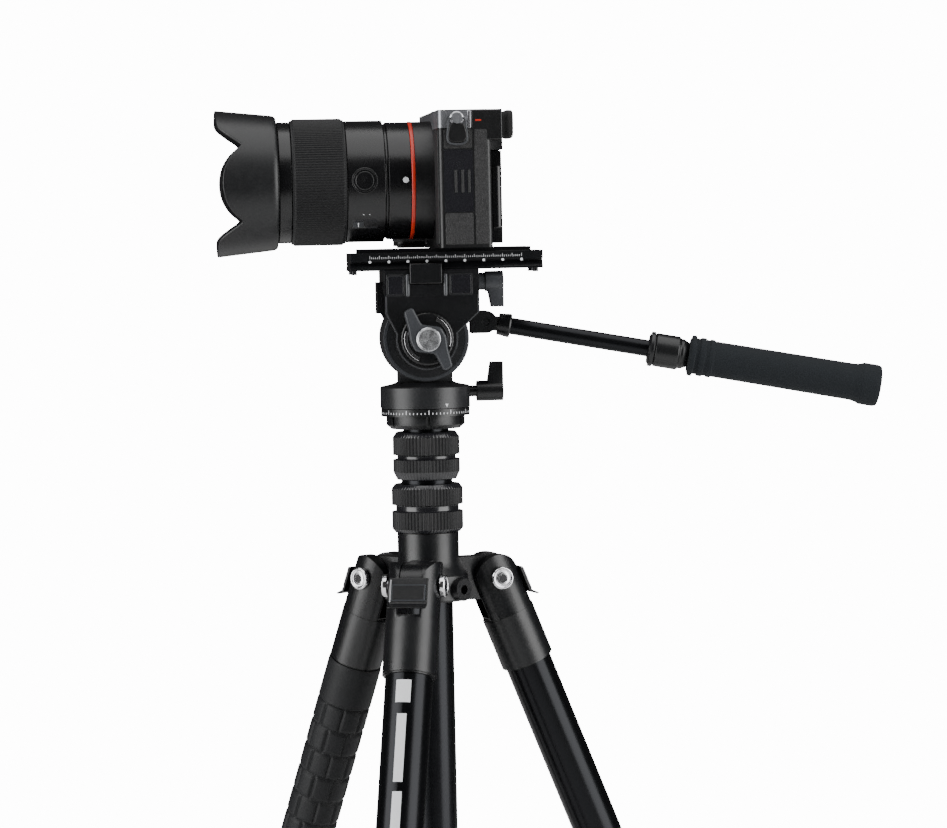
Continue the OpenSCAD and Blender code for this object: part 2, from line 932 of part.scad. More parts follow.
module focus_ring() {
    color("#0f1011")
        on_lens()
            rotate_extrude()
                polygon([[29 + gap, focus_at], [focus_r - 0.6, focus_at], [focus_r, focus_at + 0.6],
                    [focus_r, focus_at + focus_len - 0.6], [focus_r - 0.6, focus_at + focus_len],
                    [29 + gap, focus_at + focus_len]]);
}

// Petal hood: long petals above and below with slanted flanks, and a round petal at each side
module lens_hood() {
    wall = 1.8;
    end = hood_at + hood_len;
    notch_deep = 15;
    notch_low = 19.5;
    notch_wide = 29;
    petal_r = 24;
    petal_back = 2.4;
    color("#1a1b1d")
        difference() {
            on_lens()
                rotate_extrude()
                    polygon([[30 + gap, hood_at], [34.6, hood_at], [35.5, hood_at + 1.4], [hood_r, end],
                        [hood_r - wall, end], [35.4 - wall, hood_at + 4], [30 + gap, hood_at + 2.5]]);
            difference() {
                translate([-end, 60, axis_z])
                    rotate([90, 0, 0])
                        linear_extrude(120)
                            polygon([[-1, -notch_wide - 0.7], [notch_deep, -notch_low],
                                [notch_deep, notch_low], [-1, notch_wide + 0.7]]);
                translate([petal_back + petal_r - end, 0, axis_z])
                    rod_y(petal_r, -61, 61);
            }
        }
}

// Front and rear elements
module lens_glass() {
    r = 24.5 - fit;
    color("#6f8fa8", 0.4)
        on_lens() {
            rotate_extrude()
                polygon([[0, hood_at - 9], [r, hood_at - 6], [r, hood_at - 2], [r * 0.75, hood_at],
                    [r * 0.4, hood_at + 1.2], [0, hood_at + 1.6]]);
            translate([0, 0, 8])
                cylinder(r = r, h = 4);
        }
}

module hold_button() {
    color("#1b1c1e")
        translate([-31.5, 0, axis_z])
            rod_y(5, -barrel_r - 0.6, -29.8);
}

// Focus mode slider in its slot
module focus_switch() {
    color("#1b1c1e")
        translate([0, 0, axis_z])
            rotate([45, 0, 0])
                box([-37.6, -barrel_r - 0.8, -2], [-32, -30.2, 2]);
}

spider();
hinge_bolts();
leg_yoke(FRONT_LEG);  // leg_front_yoke
leg_latch(FRONT_LEG);  // leg_front_latch
leg_upper_tube(FRONT_LEG);  // leg_front_upper_tube
leg_upper_lock(FRONT_LEG);  // leg_front_upper_lock
leg_middle_tube(FRONT_LEG);  // leg_front_middle_tube
leg_lower_lock(FRONT_LEG);  // leg_front_lower_lock
leg_lower_leg(FRONT_LEG);  // leg_front_lower_leg
leg_yoke(RIGHT_LEG);  // leg_right_yoke
leg_latch(RIGHT_LEG);  // leg_right_latch
leg_upper_tube(RIGHT_LEG);  // leg_right_upper_tube
leg_upper_lock(RIGHT_LEG);  // leg_right_upper_lock
leg_middle_tube(RIGHT_LEG);  // leg_right_middle_tube
leg_lower_lock(RIGHT_LEG);  // leg_right_lower_lock
leg_lower_leg(RIGHT_LEG);  // leg_right_lower_leg
leg_yoke(LEFT_LEG);  // leg_left_yoke
leg_latch(LEFT_LEG);  // leg_left_latch
leg_upper_tube(LEFT_LEG);  // leg_left_upper_tube
leg_upper_lock(LEFT_LEG);  // leg_left_upper_lock
leg_middle_tube(LEFT_LEG);  // leg_left_middle_tube
leg_lower_lock(LEFT_LEG);  // leg_left_lower_lock
leg_lower_leg(LEFT_LEG);  // leg_left_lower_leg
leg_left_grip();
column_lock();
column_tube();
column_hook();
extension_lock();
extension_tube();
mount_base();
pan_housing();
pan_lever();
tilt_drum();
tilt_body();
tilt_knob();
clamp_jaw();
clamp_lever();
quick_plate();
camera_screw();
handle_socket();
handle_rod();
handle_collar();
handle_grip();
camera_body();
camera_top_cover();
monitor();
eyecup();
image_sensor();
card_door();
battery_door();
battery();
strap_ring();
shutter_button();
mode_dial();
lens_barrel();
focus_ring();
lens_hood();
lens_glass();
hold_button();
focus_switch();
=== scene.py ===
import json
import math

import bmesh
import bpy
import mathutils
import numpy as np
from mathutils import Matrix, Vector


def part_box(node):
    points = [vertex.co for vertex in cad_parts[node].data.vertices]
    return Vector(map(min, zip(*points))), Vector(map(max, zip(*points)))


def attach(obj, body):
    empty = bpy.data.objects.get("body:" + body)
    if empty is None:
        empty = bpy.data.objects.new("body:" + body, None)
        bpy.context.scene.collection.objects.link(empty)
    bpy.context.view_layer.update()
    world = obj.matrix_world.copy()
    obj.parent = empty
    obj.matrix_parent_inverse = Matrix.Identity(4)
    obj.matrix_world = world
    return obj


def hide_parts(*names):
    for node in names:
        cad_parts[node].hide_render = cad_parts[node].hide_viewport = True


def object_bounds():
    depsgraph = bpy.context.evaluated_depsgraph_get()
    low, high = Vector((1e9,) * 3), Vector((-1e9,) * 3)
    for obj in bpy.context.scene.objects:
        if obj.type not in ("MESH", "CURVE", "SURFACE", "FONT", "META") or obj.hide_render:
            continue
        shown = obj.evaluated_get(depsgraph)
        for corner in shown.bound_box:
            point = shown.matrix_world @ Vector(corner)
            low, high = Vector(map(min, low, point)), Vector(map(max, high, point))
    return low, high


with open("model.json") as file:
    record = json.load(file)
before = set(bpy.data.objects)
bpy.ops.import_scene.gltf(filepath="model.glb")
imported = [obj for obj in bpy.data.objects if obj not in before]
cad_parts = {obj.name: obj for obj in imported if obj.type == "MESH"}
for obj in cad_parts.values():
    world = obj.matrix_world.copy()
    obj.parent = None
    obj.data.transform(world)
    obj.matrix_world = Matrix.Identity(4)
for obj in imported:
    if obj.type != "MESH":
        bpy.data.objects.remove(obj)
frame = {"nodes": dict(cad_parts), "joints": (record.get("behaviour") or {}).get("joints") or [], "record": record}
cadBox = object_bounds()
joints = {j["name"]: j for j in frame["joints"]}
turn = 2 * math.pi
mm = 0.001


# Places and meshes

def unit(v):
    v = np.asarray(v, float)
    return v / np.linalg.norm(v)


class Place:
    # An origin and three directions: along, across and third, at right angles.

    def __init__(self, origin, along, across):
        self.origin = np.asarray(origin, float)
        self.along = unit(along)
        across = np.asarray(across, float)
        self.across = unit(across - self.along * np.dot(self.along, across))
        self.third = np.cross(self.along, self.across)

    def at(self, s, a, b):
        # World points for distances s along, a across and b the third way, in metres.
        s, a, b = np.broadcast_arrays(np.asarray(s, float), a, b)
        return (self.origin + s[..., None] * self.along + a[..., None] * self.across
                + b[..., None] * self.third)


def tidyMesh(mesh, sharp=35, outward=True):
    # Merges doubles, turns faces outwards and keeps edges over the sharp angle crisp.
    work = bmesh.new()
    work.from_mesh(mesh)
    bmesh.ops.remove_doubles(work, verts=work.verts, dist=2e-6)
    bmesh.ops.dissolve_degenerate(work, edges=work.edges, dist=1e-7)
    if outward:
        bmesh.ops.recalc_face_normals(work, faces=work.faces)
    work.to_mesh(mesh)
    work.free()
    mesh.polygons.foreach_set("use_smooth", np.ones(len(mesh.polygons), bool))
    mesh.set_sharp_from_angle(angle=math.radians(sharp))


def piece(name, vertices, faces, sharp=35):
    mesh = bpy.data.meshes.new(name)
    mesh.from_pydata(np.asarray(vertices).reshape(-1, 3).tolist(), [], faces)
    tidyMesh(mesh, sharp)
    obj = bpy.data.objects.new(name, mesh)
    bpy.context.scene.collection.objects.link(obj)
    return obj


def gridFaces(rows, columns, wrapRows, wrapColumns):
    # Quads that join each point of a grid to its neighbours, round the ends where it wraps.
    index = np.arange(rows * columns).reshape(rows, columns)
    if wrapRows:
        index = np.vstack([index, index[:1]])
    if wrapColumns:
        index = np.hstack([index, index[:, :1]])
    quads = np.stack([index[:-1, :-1], index[1:, :-1], index[1:, 1:], index[:-1, 1:]], -1)
    return quads.reshape(-1, 4).tolist()


def surface(name, points, wrapRows=False, wrapColumns=False, sharp=35):
    # A sheet of quads through a grid of points.
    rows, columns = points.shape[:2]
    return piece(name, points, gridFaces(rows, columns, wrapRows, wrapColumns), sharp)


def softened(points, radius, steps=4, closed=True):
    # A polyline whose corners are replaced by parabolas that start radius away from each corner.
    points = np.asarray(points, float)
    before, after = np.roll(points, 1, 0), np.roll(points, -1, 0)
    back, ahead = before - points, after - points
    backLength = np.linalg.norm(back, axis=1, keepdims=True) + 1e-12
    aheadLength = np.linalg.norm(ahead, axis=1, keepdims=True) + 1e-12
    start = points + back / backLength * np.minimum(radius, backLength * 0.45)
    end = points + ahead / aheadLength * np.minimum(radius, aheadLength * 0.45)
    t = np.linspace(0, 1, steps)[None, :, None]
    curve = (1 - t) ** 2 * start[:, None] + 2 * t * (1 - t) * points[:, None] + t ** 2 * end[:, None]
    if not closed:
        curve[0], curve[-1] = points[0], points[-1]
    return curve.reshape(-1, 2)


def turned(name, place, profile, around=96, soften=0.0004, ripple=None, sharp=35, arc=turn):
    # A closed profile of (distance along, radius) pairs carried round the place's along axis.
    # ripple(angle, along, radius) gives what to add to the radius.
    line = softened(profile, soften) if soften else np.asarray(profile, float)
    whole = arc >= turn - 1e-9
    angle = np.linspace(0, arc, around, endpoint=not whole)
    along = line[:, 0][:, None] + 0 * angle
    radius = line[:, 1][:, None] + 0 * angle
    if ripple:
        radius = np.maximum(radius + ripple(angle[None, :] + 0 * along, along, radius), 0)
    points = place.at(along, radius * np.cos(angle), radius * np.sin(angle))
    return surface(name, points, True, whole, sharp)


def extruded(name, place, outline, low, high, bevel=0.0004, segments=2, sharp=35):
    # A closed outline in the across and third directions, carried from low to high along the place.
    outline = np.asarray(outline, float)
    count = len(outline)
    points = np.vstack([place.at(s, outline[:, 0], outline[:, 1]) for s in (low, high)])
    faces = gridFaces(2, count, False, True) + [list(range(count)), list(range(count, 2 * count))]
    obj = piece(name, points, faces, sharp)
    if bevel:
        addBevel(obj, bevel, segments)
    return obj


def addBevel(obj, width, segments=2, angle=32):
    cut = obj.modifiers.new("edges", "BEVEL")
    cut.width, cut.segments = width, segments
    cut.limit_method, cut.angle_limit = "ANGLE", math.radians(angle)
    cut.harden_normals = False
    cut.use_clamp_overlap = True
    for level in ("levels", "render_levels"):
        if hasattr(cut, level):
            setattr(cut, level, 1)


def smoothedNode(node, width=0.0004, segments=2):
    # A merged copy of a CAD node with its flat faces joined and its edges rounded over.
    mesh = frame["nodes"][node].data.copy()
    work = bmesh.new()
    work.from_mesh(mesh)
    bmesh.ops.remove_doubles(work, verts=work.verts, dist=2e-6)
    bmesh.ops.dissolve_degenerate(work, edges=work.edges, dist=1e-7)
    bmesh.ops.dissolve_limit(work, angle_limit=math.radians(1.0), verts=work.verts, edges=work.edges)
    work.to_mesh(mesh)
    work.free()
    mesh.materials.clear()
    mesh.polygons.foreach_set("use_smooth", np.ones(len(mesh.polygons), bool))
    mesh.set_sharp_from_angle(angle=math.radians(32))
    obj = bpy.data.objects.new(node + "_finished", mesh)
    bpy.context.scene.collection.objects.link(obj)
    addBevel(obj, width, segments)
    return obj


def joined(name, parts):
    # Several pieces made one mesh, with their modifiers applied and their materials kept.
    graph = bpy.context.evaluated_depsgraph_get()
    whole = bmesh.new()
    slots = []
    for part in parts:
        ready = part.evaluated_get(graph)
        mesh = bpy.data.meshes.new_from_object(ready)
        places = []
        for material in part.data.materials:
            if material not in slots:
                slots.append(material)
            places.append(slots.index(material))
        if places:
            index = np.zeros(len(mesh.polygons), np.int32)
            mesh.polygons.foreach_get("material_index", index)
            mesh.polygons.foreach_set("material_index", np.take(places, index).astype(np.int32))
        whole.from_mesh(mesh)
        bpy.data.meshes.remove(mesh)
    mesh = bpy.data.meshes.new(name)
    whole.to_mesh(mesh)
    whole.free()
    for part in parts:
        bpy.data.objects.remove(part)
    for material in slots:
        mesh.materials.append(material)
    obj = bpy.data.objects.new(name, mesh)
    bpy.context.scene.collection.objects.link(obj)
    return obj


def wear(obj, material):
    obj.data.materials.clear()
    obj.data.materials.append(material)
    return obj


def dress(obj, finish):
    return wear(obj, finishes[finish])


def place(obj, body, slotName, *nodes):
    # Puts a finished piece on its body, in place of the CAD nodes it stands for.
    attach(obj, body)
    if nodes:
        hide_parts(*nodes)
    return obj


def slotOf(node):
    return next(s["material_slot"] for s in frame["record"]["subparts"] if s["node"] == node)


# Materials

class Wire:
    # A number in a shader, with Python's operators as Math nodes.

    def __init__(self, paint, socket):
        self.paint, self.socket = paint, socket

    def maths(self, operation, *others, clamp=False):
        values = {k + 1: v for k, v in enumerate(others)}
        node = self.paint.node("ShaderNodeMath", {"operation": operation, "use_clamp": clamp},
                               {0: self, **values})
        return node.wire()

    def __add__(self, other):
        return self.maths("ADD", other)

    __radd__ = __add__

    def __mul__(self, other):
        return self.maths("MULTIPLY", other)

    __rmul__ = __mul__

    def __sub__(self, other):
        return self.maths("SUBTRACT", other)

    def __rsub__(self, other):
        return (self * -1) + other

    def __truediv__(self, other):
        return self.maths("DIVIDE", other)


class Node:
    # A node with its outputs by name.

    def __init__(self, paint, node):
        self.paint, self.inner = paint, node

    def wire(self, output=0):
        return Wire(self.paint, self.inner.outputs[output])


class Paint:
    # A material on one Principled shader.

    def __init__(self, name, **values):
        self.material = bpy.data.materials.new(name)
        self.material.use_nodes = True
        self.tree = self.material.node_tree
        self.shader = self.tree.nodes["Principled BSDF"]
        for key, value in values.items():
            self.shader.inputs[key.replace("_", " ")].default_value = value

    def node(self, kind, settings=None, inputs=None):
        node = self.tree.nodes.new(kind)
        settings = dict(settings or {})
        stops = settings.pop("stops", None)
        for key, value in settings.items():
            setattr(node, key, value)
        if stops:
            ramp = node.color_ramp
            while len(ramp.elements) < len(stops):
                ramp.elements.new(0.5)
            for element, (position, colour) in zip(ramp.elements, stops):
                element.position, element.color = position, colour
        for key, value in (inputs or {}).items():
            if isinstance(value, Wire):
                self.tree.links.new(value.socket, node.inputs[key])
            else:
                node.inputs[key].default_value = value
        return Node(self, node)

    def feed(self, **inputs):
        for key, value in inputs.items():
            self.tree.links.new(value.socket, self.shader.inputs[key.replace("_", " ")])
        return self

    def spot(self, scale=(1, 1, 1), location=(0, 0, 0), rotation=(0, 0, 0)):
        # Object coordinates through a Mapping node, in metres times scale.
        where = self.node("ShaderNodeTexCoord").wire("Object")
        return self.node("ShaderNodeMapping", {"vector_type": "TEXTURE"}, {
            "Vector": where, "Location": location, "Rotation": rotation}).wire() if scale == (1, 1, 1) \
            else self.node("ShaderNodeMapping", {}, {"Vector": where, "Scale": scale}).wire()

    def noise(self, vector, scale, detail=4, rough=0.55):
        return self.node("ShaderNodeTexNoise", {}, {
            "Vector": vector, "Scale": scale, "Detail": detail, "Roughness": rough}).wire("Fac")

    def blend(self, factor, dark, light):
        # Base colours mixed by a factor.
        node = self.node("ShaderNodeMix", {"data_type": "RGBA"}, {0: factor})
        for socket, value in ((6, dark), (7, light)):
            if isinstance(value, Wire):
                self.tree.links.new(value.socket, node.inner.inputs[socket])
            else:
                node.inner.inputs[socket].default_value = (*value, 1)
        return node.wire(2)

    def bump(self, height, distance, strength=1.0):
        # Raised by height times distance, in metres.
        node = self.node("ShaderNodeBump", {}, {"Height": height, "Distance": distance,
                                                "Strength": strength})
        return self.feed(Normal=node.wire())


def castPaint(name, colour, roughness=0.42, grain=0.00006, scale=2600, coat=0.0, metallic=0.0):
    # Fine powder coat: small grain, softly clouded gloss and a little dust in the clouds.
    paint = Paint(name, Metallic=metallic, Coat_Weight=coat)
    where = paint.spot()
    fine = paint.noise(where, scale, 3)
    cloud = paint.noise(where, 38, 5)
    dust = paint.noise(where, 210, 6, 0.7)
    light = tuple(c * 1.5 + 0.0015 for c in colour)
    paint.feed(Base_Color=paint.blend(cloud * 0.55 + dust * 0.25, colour, light),
               Roughness=cloud * 0.16 + dust * 0.1 + (roughness - 0.13))
    paint.bump(fine, grain)
    return paint.material


def anodisedPaint(name, colour, along=(0, 0, 1), roughness=0.3):
    # Satin anodised tube: metal under a dark film, with faint drawn lines along the tube.
    paint = Paint(name, Metallic=0.75)
    a = unit(along)
    where = paint.node("ShaderNodeTexCoord").wire("Object")
    down = paint.node("ShaderNodeVectorMath", {"operation": "DOT_PRODUCT"},
                      {0: where, 1: tuple(a)}).wire("Value")
    back = paint.node("ShaderNodeVectorMath", {"operation": "SCALE"}, {0: tuple(a), "Scale": down * 0.985})
    flat = paint.node("ShaderNodeVectorMath", {"operation": "SUBTRACT"}, {0: where, 1: back.wire(0)})
    lines = paint.noise(flat.wire(0), 5200, 2)
    cloud = paint.noise(where, 55, 4)
    smear = paint.noise(where, 9, 3)
    light = tuple(c * 1.7 + 0.004 for c in colour)
    paint.feed(Base_Color=paint.blend(lines * 0.4 + cloud * 0.3, colour, light),
               Roughness=lines * 0.08 + cloud * 0.1 + smear * 0.06 + (roughness - 0.12))
    paint.bump(lines, 0.000006)
    return paint.material


def rubberPaint(name, colour, roughness=0.72, grain=0.00008, scale=1500, sheen=0.15):
    # Moulded rubber: matt skin with pores and a dusty bloom.
    paint = Paint(name, Sheen_Weight=sheen * 0.4, Sheen_Roughness=0.5, Specular_IOR_Level=0.3)
    where = paint.spot()
    pores = paint.noise(where, scale, 4, 0.7)
    bloom = paint.noise(where, 60, 5, 0.6)
    light = tuple(c * 2.0 + 0.003 for c in colour)
    paint.feed(Base_Color=paint.blend(bloom * 0.6, colour, light),
               Roughness=pores * 0.1 + bloom * 0.12 + (roughness - 0.1))
    paint.bump(pores, grain)
    return paint.material


def foamPaint(name, colour):
    # Closed-cell foam: a broad mottling of its own, and painted shade that darkens the cell dimples and the low
    # spots of the bump.
    paint = Paint(name, Sheen_Weight=0.03, Sheen_Roughness=0.6, Specular_IOR_Level=0.22)
    where = paint.spot()
    cells = paint.node("ShaderNodeTexVoronoi", {"feature": "F1"},
                       {"Vector": where, "Scale": 1500.0}).wire("Distance")
    soft = paint.noise(where, 520, 5, 0.65)
    mottle = paint.noise(where, 85, 5)
    # Painted shade: the cells and the soft noise darken the colour where the bump sinks; the mottle is the foam's
    # own tone.
    mottleAndShade = cells * 0.3 + soft * 0.45 + mottle * 0.35
    light = tuple(c * 2.4 + 0.001 for c in colour)
    paint.feed(Base_Color=paint.blend(mottleAndShade, colour, light), Roughness=soft * 0.15 + 0.72)
    paint.bump(soft * 0.6 + cells * 0.5, 0.00022)
    return paint.material


def leatherPaint(name, colour):
    # Leatherette: small cells with creases between them, and painted shade that darkens the creases.
    paint = Paint(name)
    where = paint.spot()
    cells = paint.node("ShaderNodeTexVoronoi", {"feature": "DISTANCE_TO_EDGE"},
                       {"Vector": where, "Scale": 900.0}).wire("Distance")
    crease = cells.maths("MINIMUM", 0.22)
    grain = paint.noise(where, 2400, 3)
    light = tuple(c * 1.7 + 0.008 for c in colour)
    # Painted shade: the colour goes dark in the creases, where the bump sinks.
    paint.feed(Base_Color=paint.blend(crease * 3.5, colour, light),
               Roughness=crease * -0.8 + grain * 0.12 + 0.62)
    paint.bump(crease * 3 + grain * 0.3, 0.00018)
    return paint.material


def brightPaint(name, colour, roughness=0.16, scratch=0.06):
    # Plated steel: polished, with faint swirls and fingerprints.
    paint = Paint(name, Metallic=1.0)
    where = paint.spot()
    swirl = paint.noise(where, 700, 6, 0.7)
    smudge = paint.noise(where, 130, 4)
    light = tuple(min(1.0, c * 1.12) for c in colour)
    paint.feed(Base_Color=paint.blend(swirl, colour, light),
               Roughness=swirl * scratch + smudge * scratch + roughness - scratch * 0.6)
    paint.bump(swirl, 0.000004)
    return paint.material


def spunPaint(name, centre, colour=(0.62, 0.63, 0.65)):
    # Spun face: rings about a centre on the Y axis, and a painted reflection in the colour: two opposite bright
    # sectors that fan out from the middle.
    paint = Paint(name, Metallic=1.0, Anisotropic=0.75)
    where = paint.spot(location=tuple(centre))
    parts = paint.node("ShaderNodeSeparateXYZ", {}, {0: where})
    x, z = parts.wire("X"), parts.wire("Z")
    radius = (x * x + z * z).maths("SQRT")
    angle = z.maths("ARCTAN2", x)
    rings = (radius * 14000).maths("SINE") * 0.5 + 0.5
    # Painted reflection: the colour is brighter in two opposite sectors, where the spun face's glint would fall.
    paintedFan = (angle * 2 + 0.9).maths("SINE").maths("ABSOLUTE")
    fine = paint.noise(where, 900, 3)
    paint.feed(Base_Color=paint.blend(paintedFan * 0.75 + fine * 0.25, tuple(c * 0.45 for c in colour), colour),
               Roughness=fine * 0.12 + rings * 0.05 + 0.2)
    paint.bump(rings, 0.000012)
    return paint.material


def glassPaint(name, centre):
    # Coated glass: dark and clear, with a painted reflection of its coating in the colour, going from green in the
    # middle to violet at the rim.
    paint = Paint(name, Roughness=0.02, Transmission_Weight=0.35, IOR=1.6, Coat_Weight=1.0,
                  Coat_Roughness=0.01)
    where = paint.spot(location=tuple(centre))
    parts = paint.node("ShaderNodeSeparateXYZ", {}, {0: where})
    y, z = parts.wire("Y"), parts.wire("Z")
    # Painted reflection: the coating's green-to-violet glint, set by distance from the axis and put in the colour.
    rim = (y * y + z * z).maths("SQRT") * 36
    film = paint.noise(where, 26, 2)
    paint.feed(Base_Color=paint.blend(rim * rim + film * 0.2, (0.01, 0.03, 0.025), (0.12, 0.03, 0.16)))
    return paint.material


def screenPaint(name):
    # Glossy black cover glass with faint finger marks.
    paint = Paint(name, Coat_Weight=0.6, Coat_Roughness=0.03)
    where = paint.spot()
    marks = paint.noise(where, 60, 6, 0.7)
    paint.feed(Base_Color=paint.blend(marks, (0.004, 0.004, 0.005), (0.012, 0.012, 0.014)),
               Roughness=marks * 0.14 + 0.03)
    return paint.material


def markPaint(name, colour, roughness=0.5):
    # Printed or filled marking with a slightly uneven film.
    paint = Paint(name)
    where = paint.spot()
    film = paint.noise(where, 900, 4)
    paint.feed(Base_Color=paint.blend(film, tuple(c * 0.86 for c in colour), colour),
               Roughness=film * 0.15 + (roughness - 0.08))
    return paint.material


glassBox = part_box("lens_glass")

finishes = {
    "casting": castPaint("powderCoat", (0.0035, 0.0037, 0.0044), 0.3),
    "satinHead": castPaint("satinHeadCoat", (0.003, 0.0032, 0.0038), 0.32, 0.00004, 3200),
    "panGrey": castPaint("panHousingCoat", (0.008, 0.0084, 0.0095), 0.36, 0.00004, 3000),
    # A lighter grey used only as painted highlight on the tilt body: its ribs and the band round its cheek.
    "drumGrey": castPaint("drumRimGrey", (0.05, 0.052, 0.056), 0.34, 0.00004, 3000, metallic=0.3),
    "latchGrey": castPaint("latchGrey", (0.035, 0.038, 0.043), 0.36, 0.00003, 3000, metallic=0.5),
    "knobGrey": castPaint("knobGrey", (0.03, 0.032, 0.036), 0.42, 0.00005, 2600, metallic=0.2),
    "rib": rubberPaint("ribbedRubber", (0.003, 0.003, 0.0036), 0.5, 0.00005, 1800, 0.1),
    "groove": castPaint("lockGroove", (0.008, 0.008, 0.01), 0.24, 0.00001, 3000, coat=0.4),
    "grip": rubberPaint("gripRubber", (0.0035, 0.0038, 0.0046), 0.52, 0.0001, 1300, 0.08),
    "foot": rubberPaint("footRubber", (0.006, 0.006, 0.006), 0.78, 0.0001, 1200),
    "foam": foamPaint("handleFoam", (0.003, 0.0042, 0.0056)),
    "chrome": brightPaint("chromePlate", (0.78, 0.78, 0.8), 0.12),
    "steel": brightPaint("screwSteel", (0.5, 0.5, 0.52), 0.3),
    "plastic": castPaint("lensPlastic", (0.0025, 0.0025, 0.003), 0.26, 0.00003, 2800),
    "hood": castPaint("hoodPlastic", (0.0035, 0.0037, 0.0043), 0.38, 0.00004, 2600),
    "flock": rubberPaint("hoodFlock", (0.004, 0.004, 0.0045), 0.9, 0.0001, 2600, 0.0),
    "body": castPaint("cameraBodyPaint", (0.0022, 0.0022, 0.0026), 0.36, 0.00008, 1900),
    "leather": leatherPaint("cameraLeatherette", (0.0024, 0.0024, 0.0028)),
    "silver": castPaint("topCoverSilver", (0.23, 0.235, 0.25), 0.34, 0.00003, 3200, metallic=0.8),
    "screen": screenPaint("monitorGlass"),
    "glass": glassPaint("coatedGlass", (0, 0, (glassBox[0].z + glassBox[1].z) / 2)),
    "white": markPaint("whiteFill", (0.75, 0.76, 0.78)),
    "red": markPaint("redRing", (0.55, 0.03, 0.015), 0.35),
    "plate": castPaint("plateAnodised", (0.006, 0.0063, 0.0075), 0.34, 0.00003, 3000, metallic=0.4),
    "sensor": screenPaint("sensorGlass"),
}
print("materials ready")


# Legs

def reach(node, where):
    # Lowest and highest distance of a node along a place, and its largest radius about it.
    mesh = frame["nodes"][node].data
    points = np.empty(len(mesh.vertices) * 3, np.float32)
    mesh.vertices.foreach_get("co", points)
    offset = points.reshape(-1, 3).astype(float) - where.origin
    along = offset @ where.along
    radius = np.linalg.norm(offset - along[:, None] * where.along, axis=1)
    return along.min(), along.max(), radius.max()


def ribs(count, depth, low):
    # Takes depth off the radius between ribs, only where the radius is over low.
    # A steep tanh of a sine gives flat ribs with straight flanks.
    def ripple(angle, along, radius):
        cut = 0.5 - 0.5 * np.tanh(3.0 * np.sin(count * angle))
        return -depth * cut * (radius > low)
    return ripple


lockSizes = {"ribs": 46, "ribDepth": 0.5 * mm, "wall": 2.9 * mm, "groove": 1.3 * mm, "seat": 10.3 * mm}


def legLock(name, node, where, tubeRadius):
    # Two ribbed bands with a smooth waist, turned about the leg.
    low, high, radius = reach(node, where)
    size = high - low
    waistLow, waistHigh = low + size * 0.46, low + size * 0.54
    bore = radius - lockSizes["wall"]
    profile = [(low, radius - 1.1 * mm), (low + 1.6 * mm, radius), (waistLow, radius),
               (waistLow + 0.5 * mm, radius - lockSizes["groove"]),
               (waistHigh - 0.5 * mm, radius - lockSizes["groove"]), (waistHigh, radius),
               (high - 1.6 * mm, radius), (high, radius - 1.1 * mm), (high, tubeRadius + 0.3 * mm),
               (low + lockSizes["seat"], tubeRadius + 0.3 * mm), (low + lockSizes["seat"], bore), (low, bore)]
    ripple = ribs(lockSizes["ribs"], lockSizes["ribDepth"], radius - 0.2 * mm)
    obj = turned(name, where, profile, lockSizes["ribs"] * 6, 0.35 * mm, ripple, sharp=60)
    return dress(obj, "rib")


gripSizes = {"plain": 24 * mm, "block": 14 * mm, "columns": 8, "depth": 1.0 * mm, "seam": 0.9 * mm}


def legGrip(where):
    # Rubber sleeve: a plain cuff, then rows of raised blocks parted by round-bottomed grooves.
    low, high, radius = reach("leg_left_grip", where)
    bore = radius - 2.0 * mm
    stations = np.linspace(low, high, int((high - low) / (0.8 * mm)))
    profile = [(low, bore)] + [(s, radius) for s in stations] + [(high, bore)]

    def ripple(angle, along, radiusHere):
        start = low + gripSizes["plain"]
        row = np.floor((along - start) / gripSizes["block"])
        fromRing = (along - start) - row * gripSizes["block"]
        fromRing = np.minimum(fromRing, gripSizes["block"] - fromRing)
        column = angle / turn * gripSizes["columns"] + 0.5 * (row % 2)
        fromLine = np.abs((column + 0.5) % 1 - 0.5) * turn * radius / gripSizes["columns"]
        ring = np.exp(-(fromRing / gripSizes["seam"]) ** 2)
        line = np.exp(-(fromLine / gripSizes["seam"]) ** 2)
        cut = np.maximum(ring, line) * (along > start - 0.5 * mm)
        crown = 0.25 * mm * np.clip((along - low) / (2 * mm), 0, 1)
        return (-gripSizes["depth"] * cut - 0.25 * mm + crown) * (radiusHere > bore + 1e-5)

    obj = turned("leg_grip_rubber", where, profile, 192, 0, ripple, sharp=50)
    return dress(obj, "grip")


boltSizes = {"seat": 14.2 * mm, "socket": 2.5 * mm,
             "head": [(0, 0), (0, 6), (2.2, 6), (2.75, 5.5), (2.75, 4.7), (2.1, 4.4), (2.1, 3.9), (2.5, 3.6),
                      (2.5, 0)]}


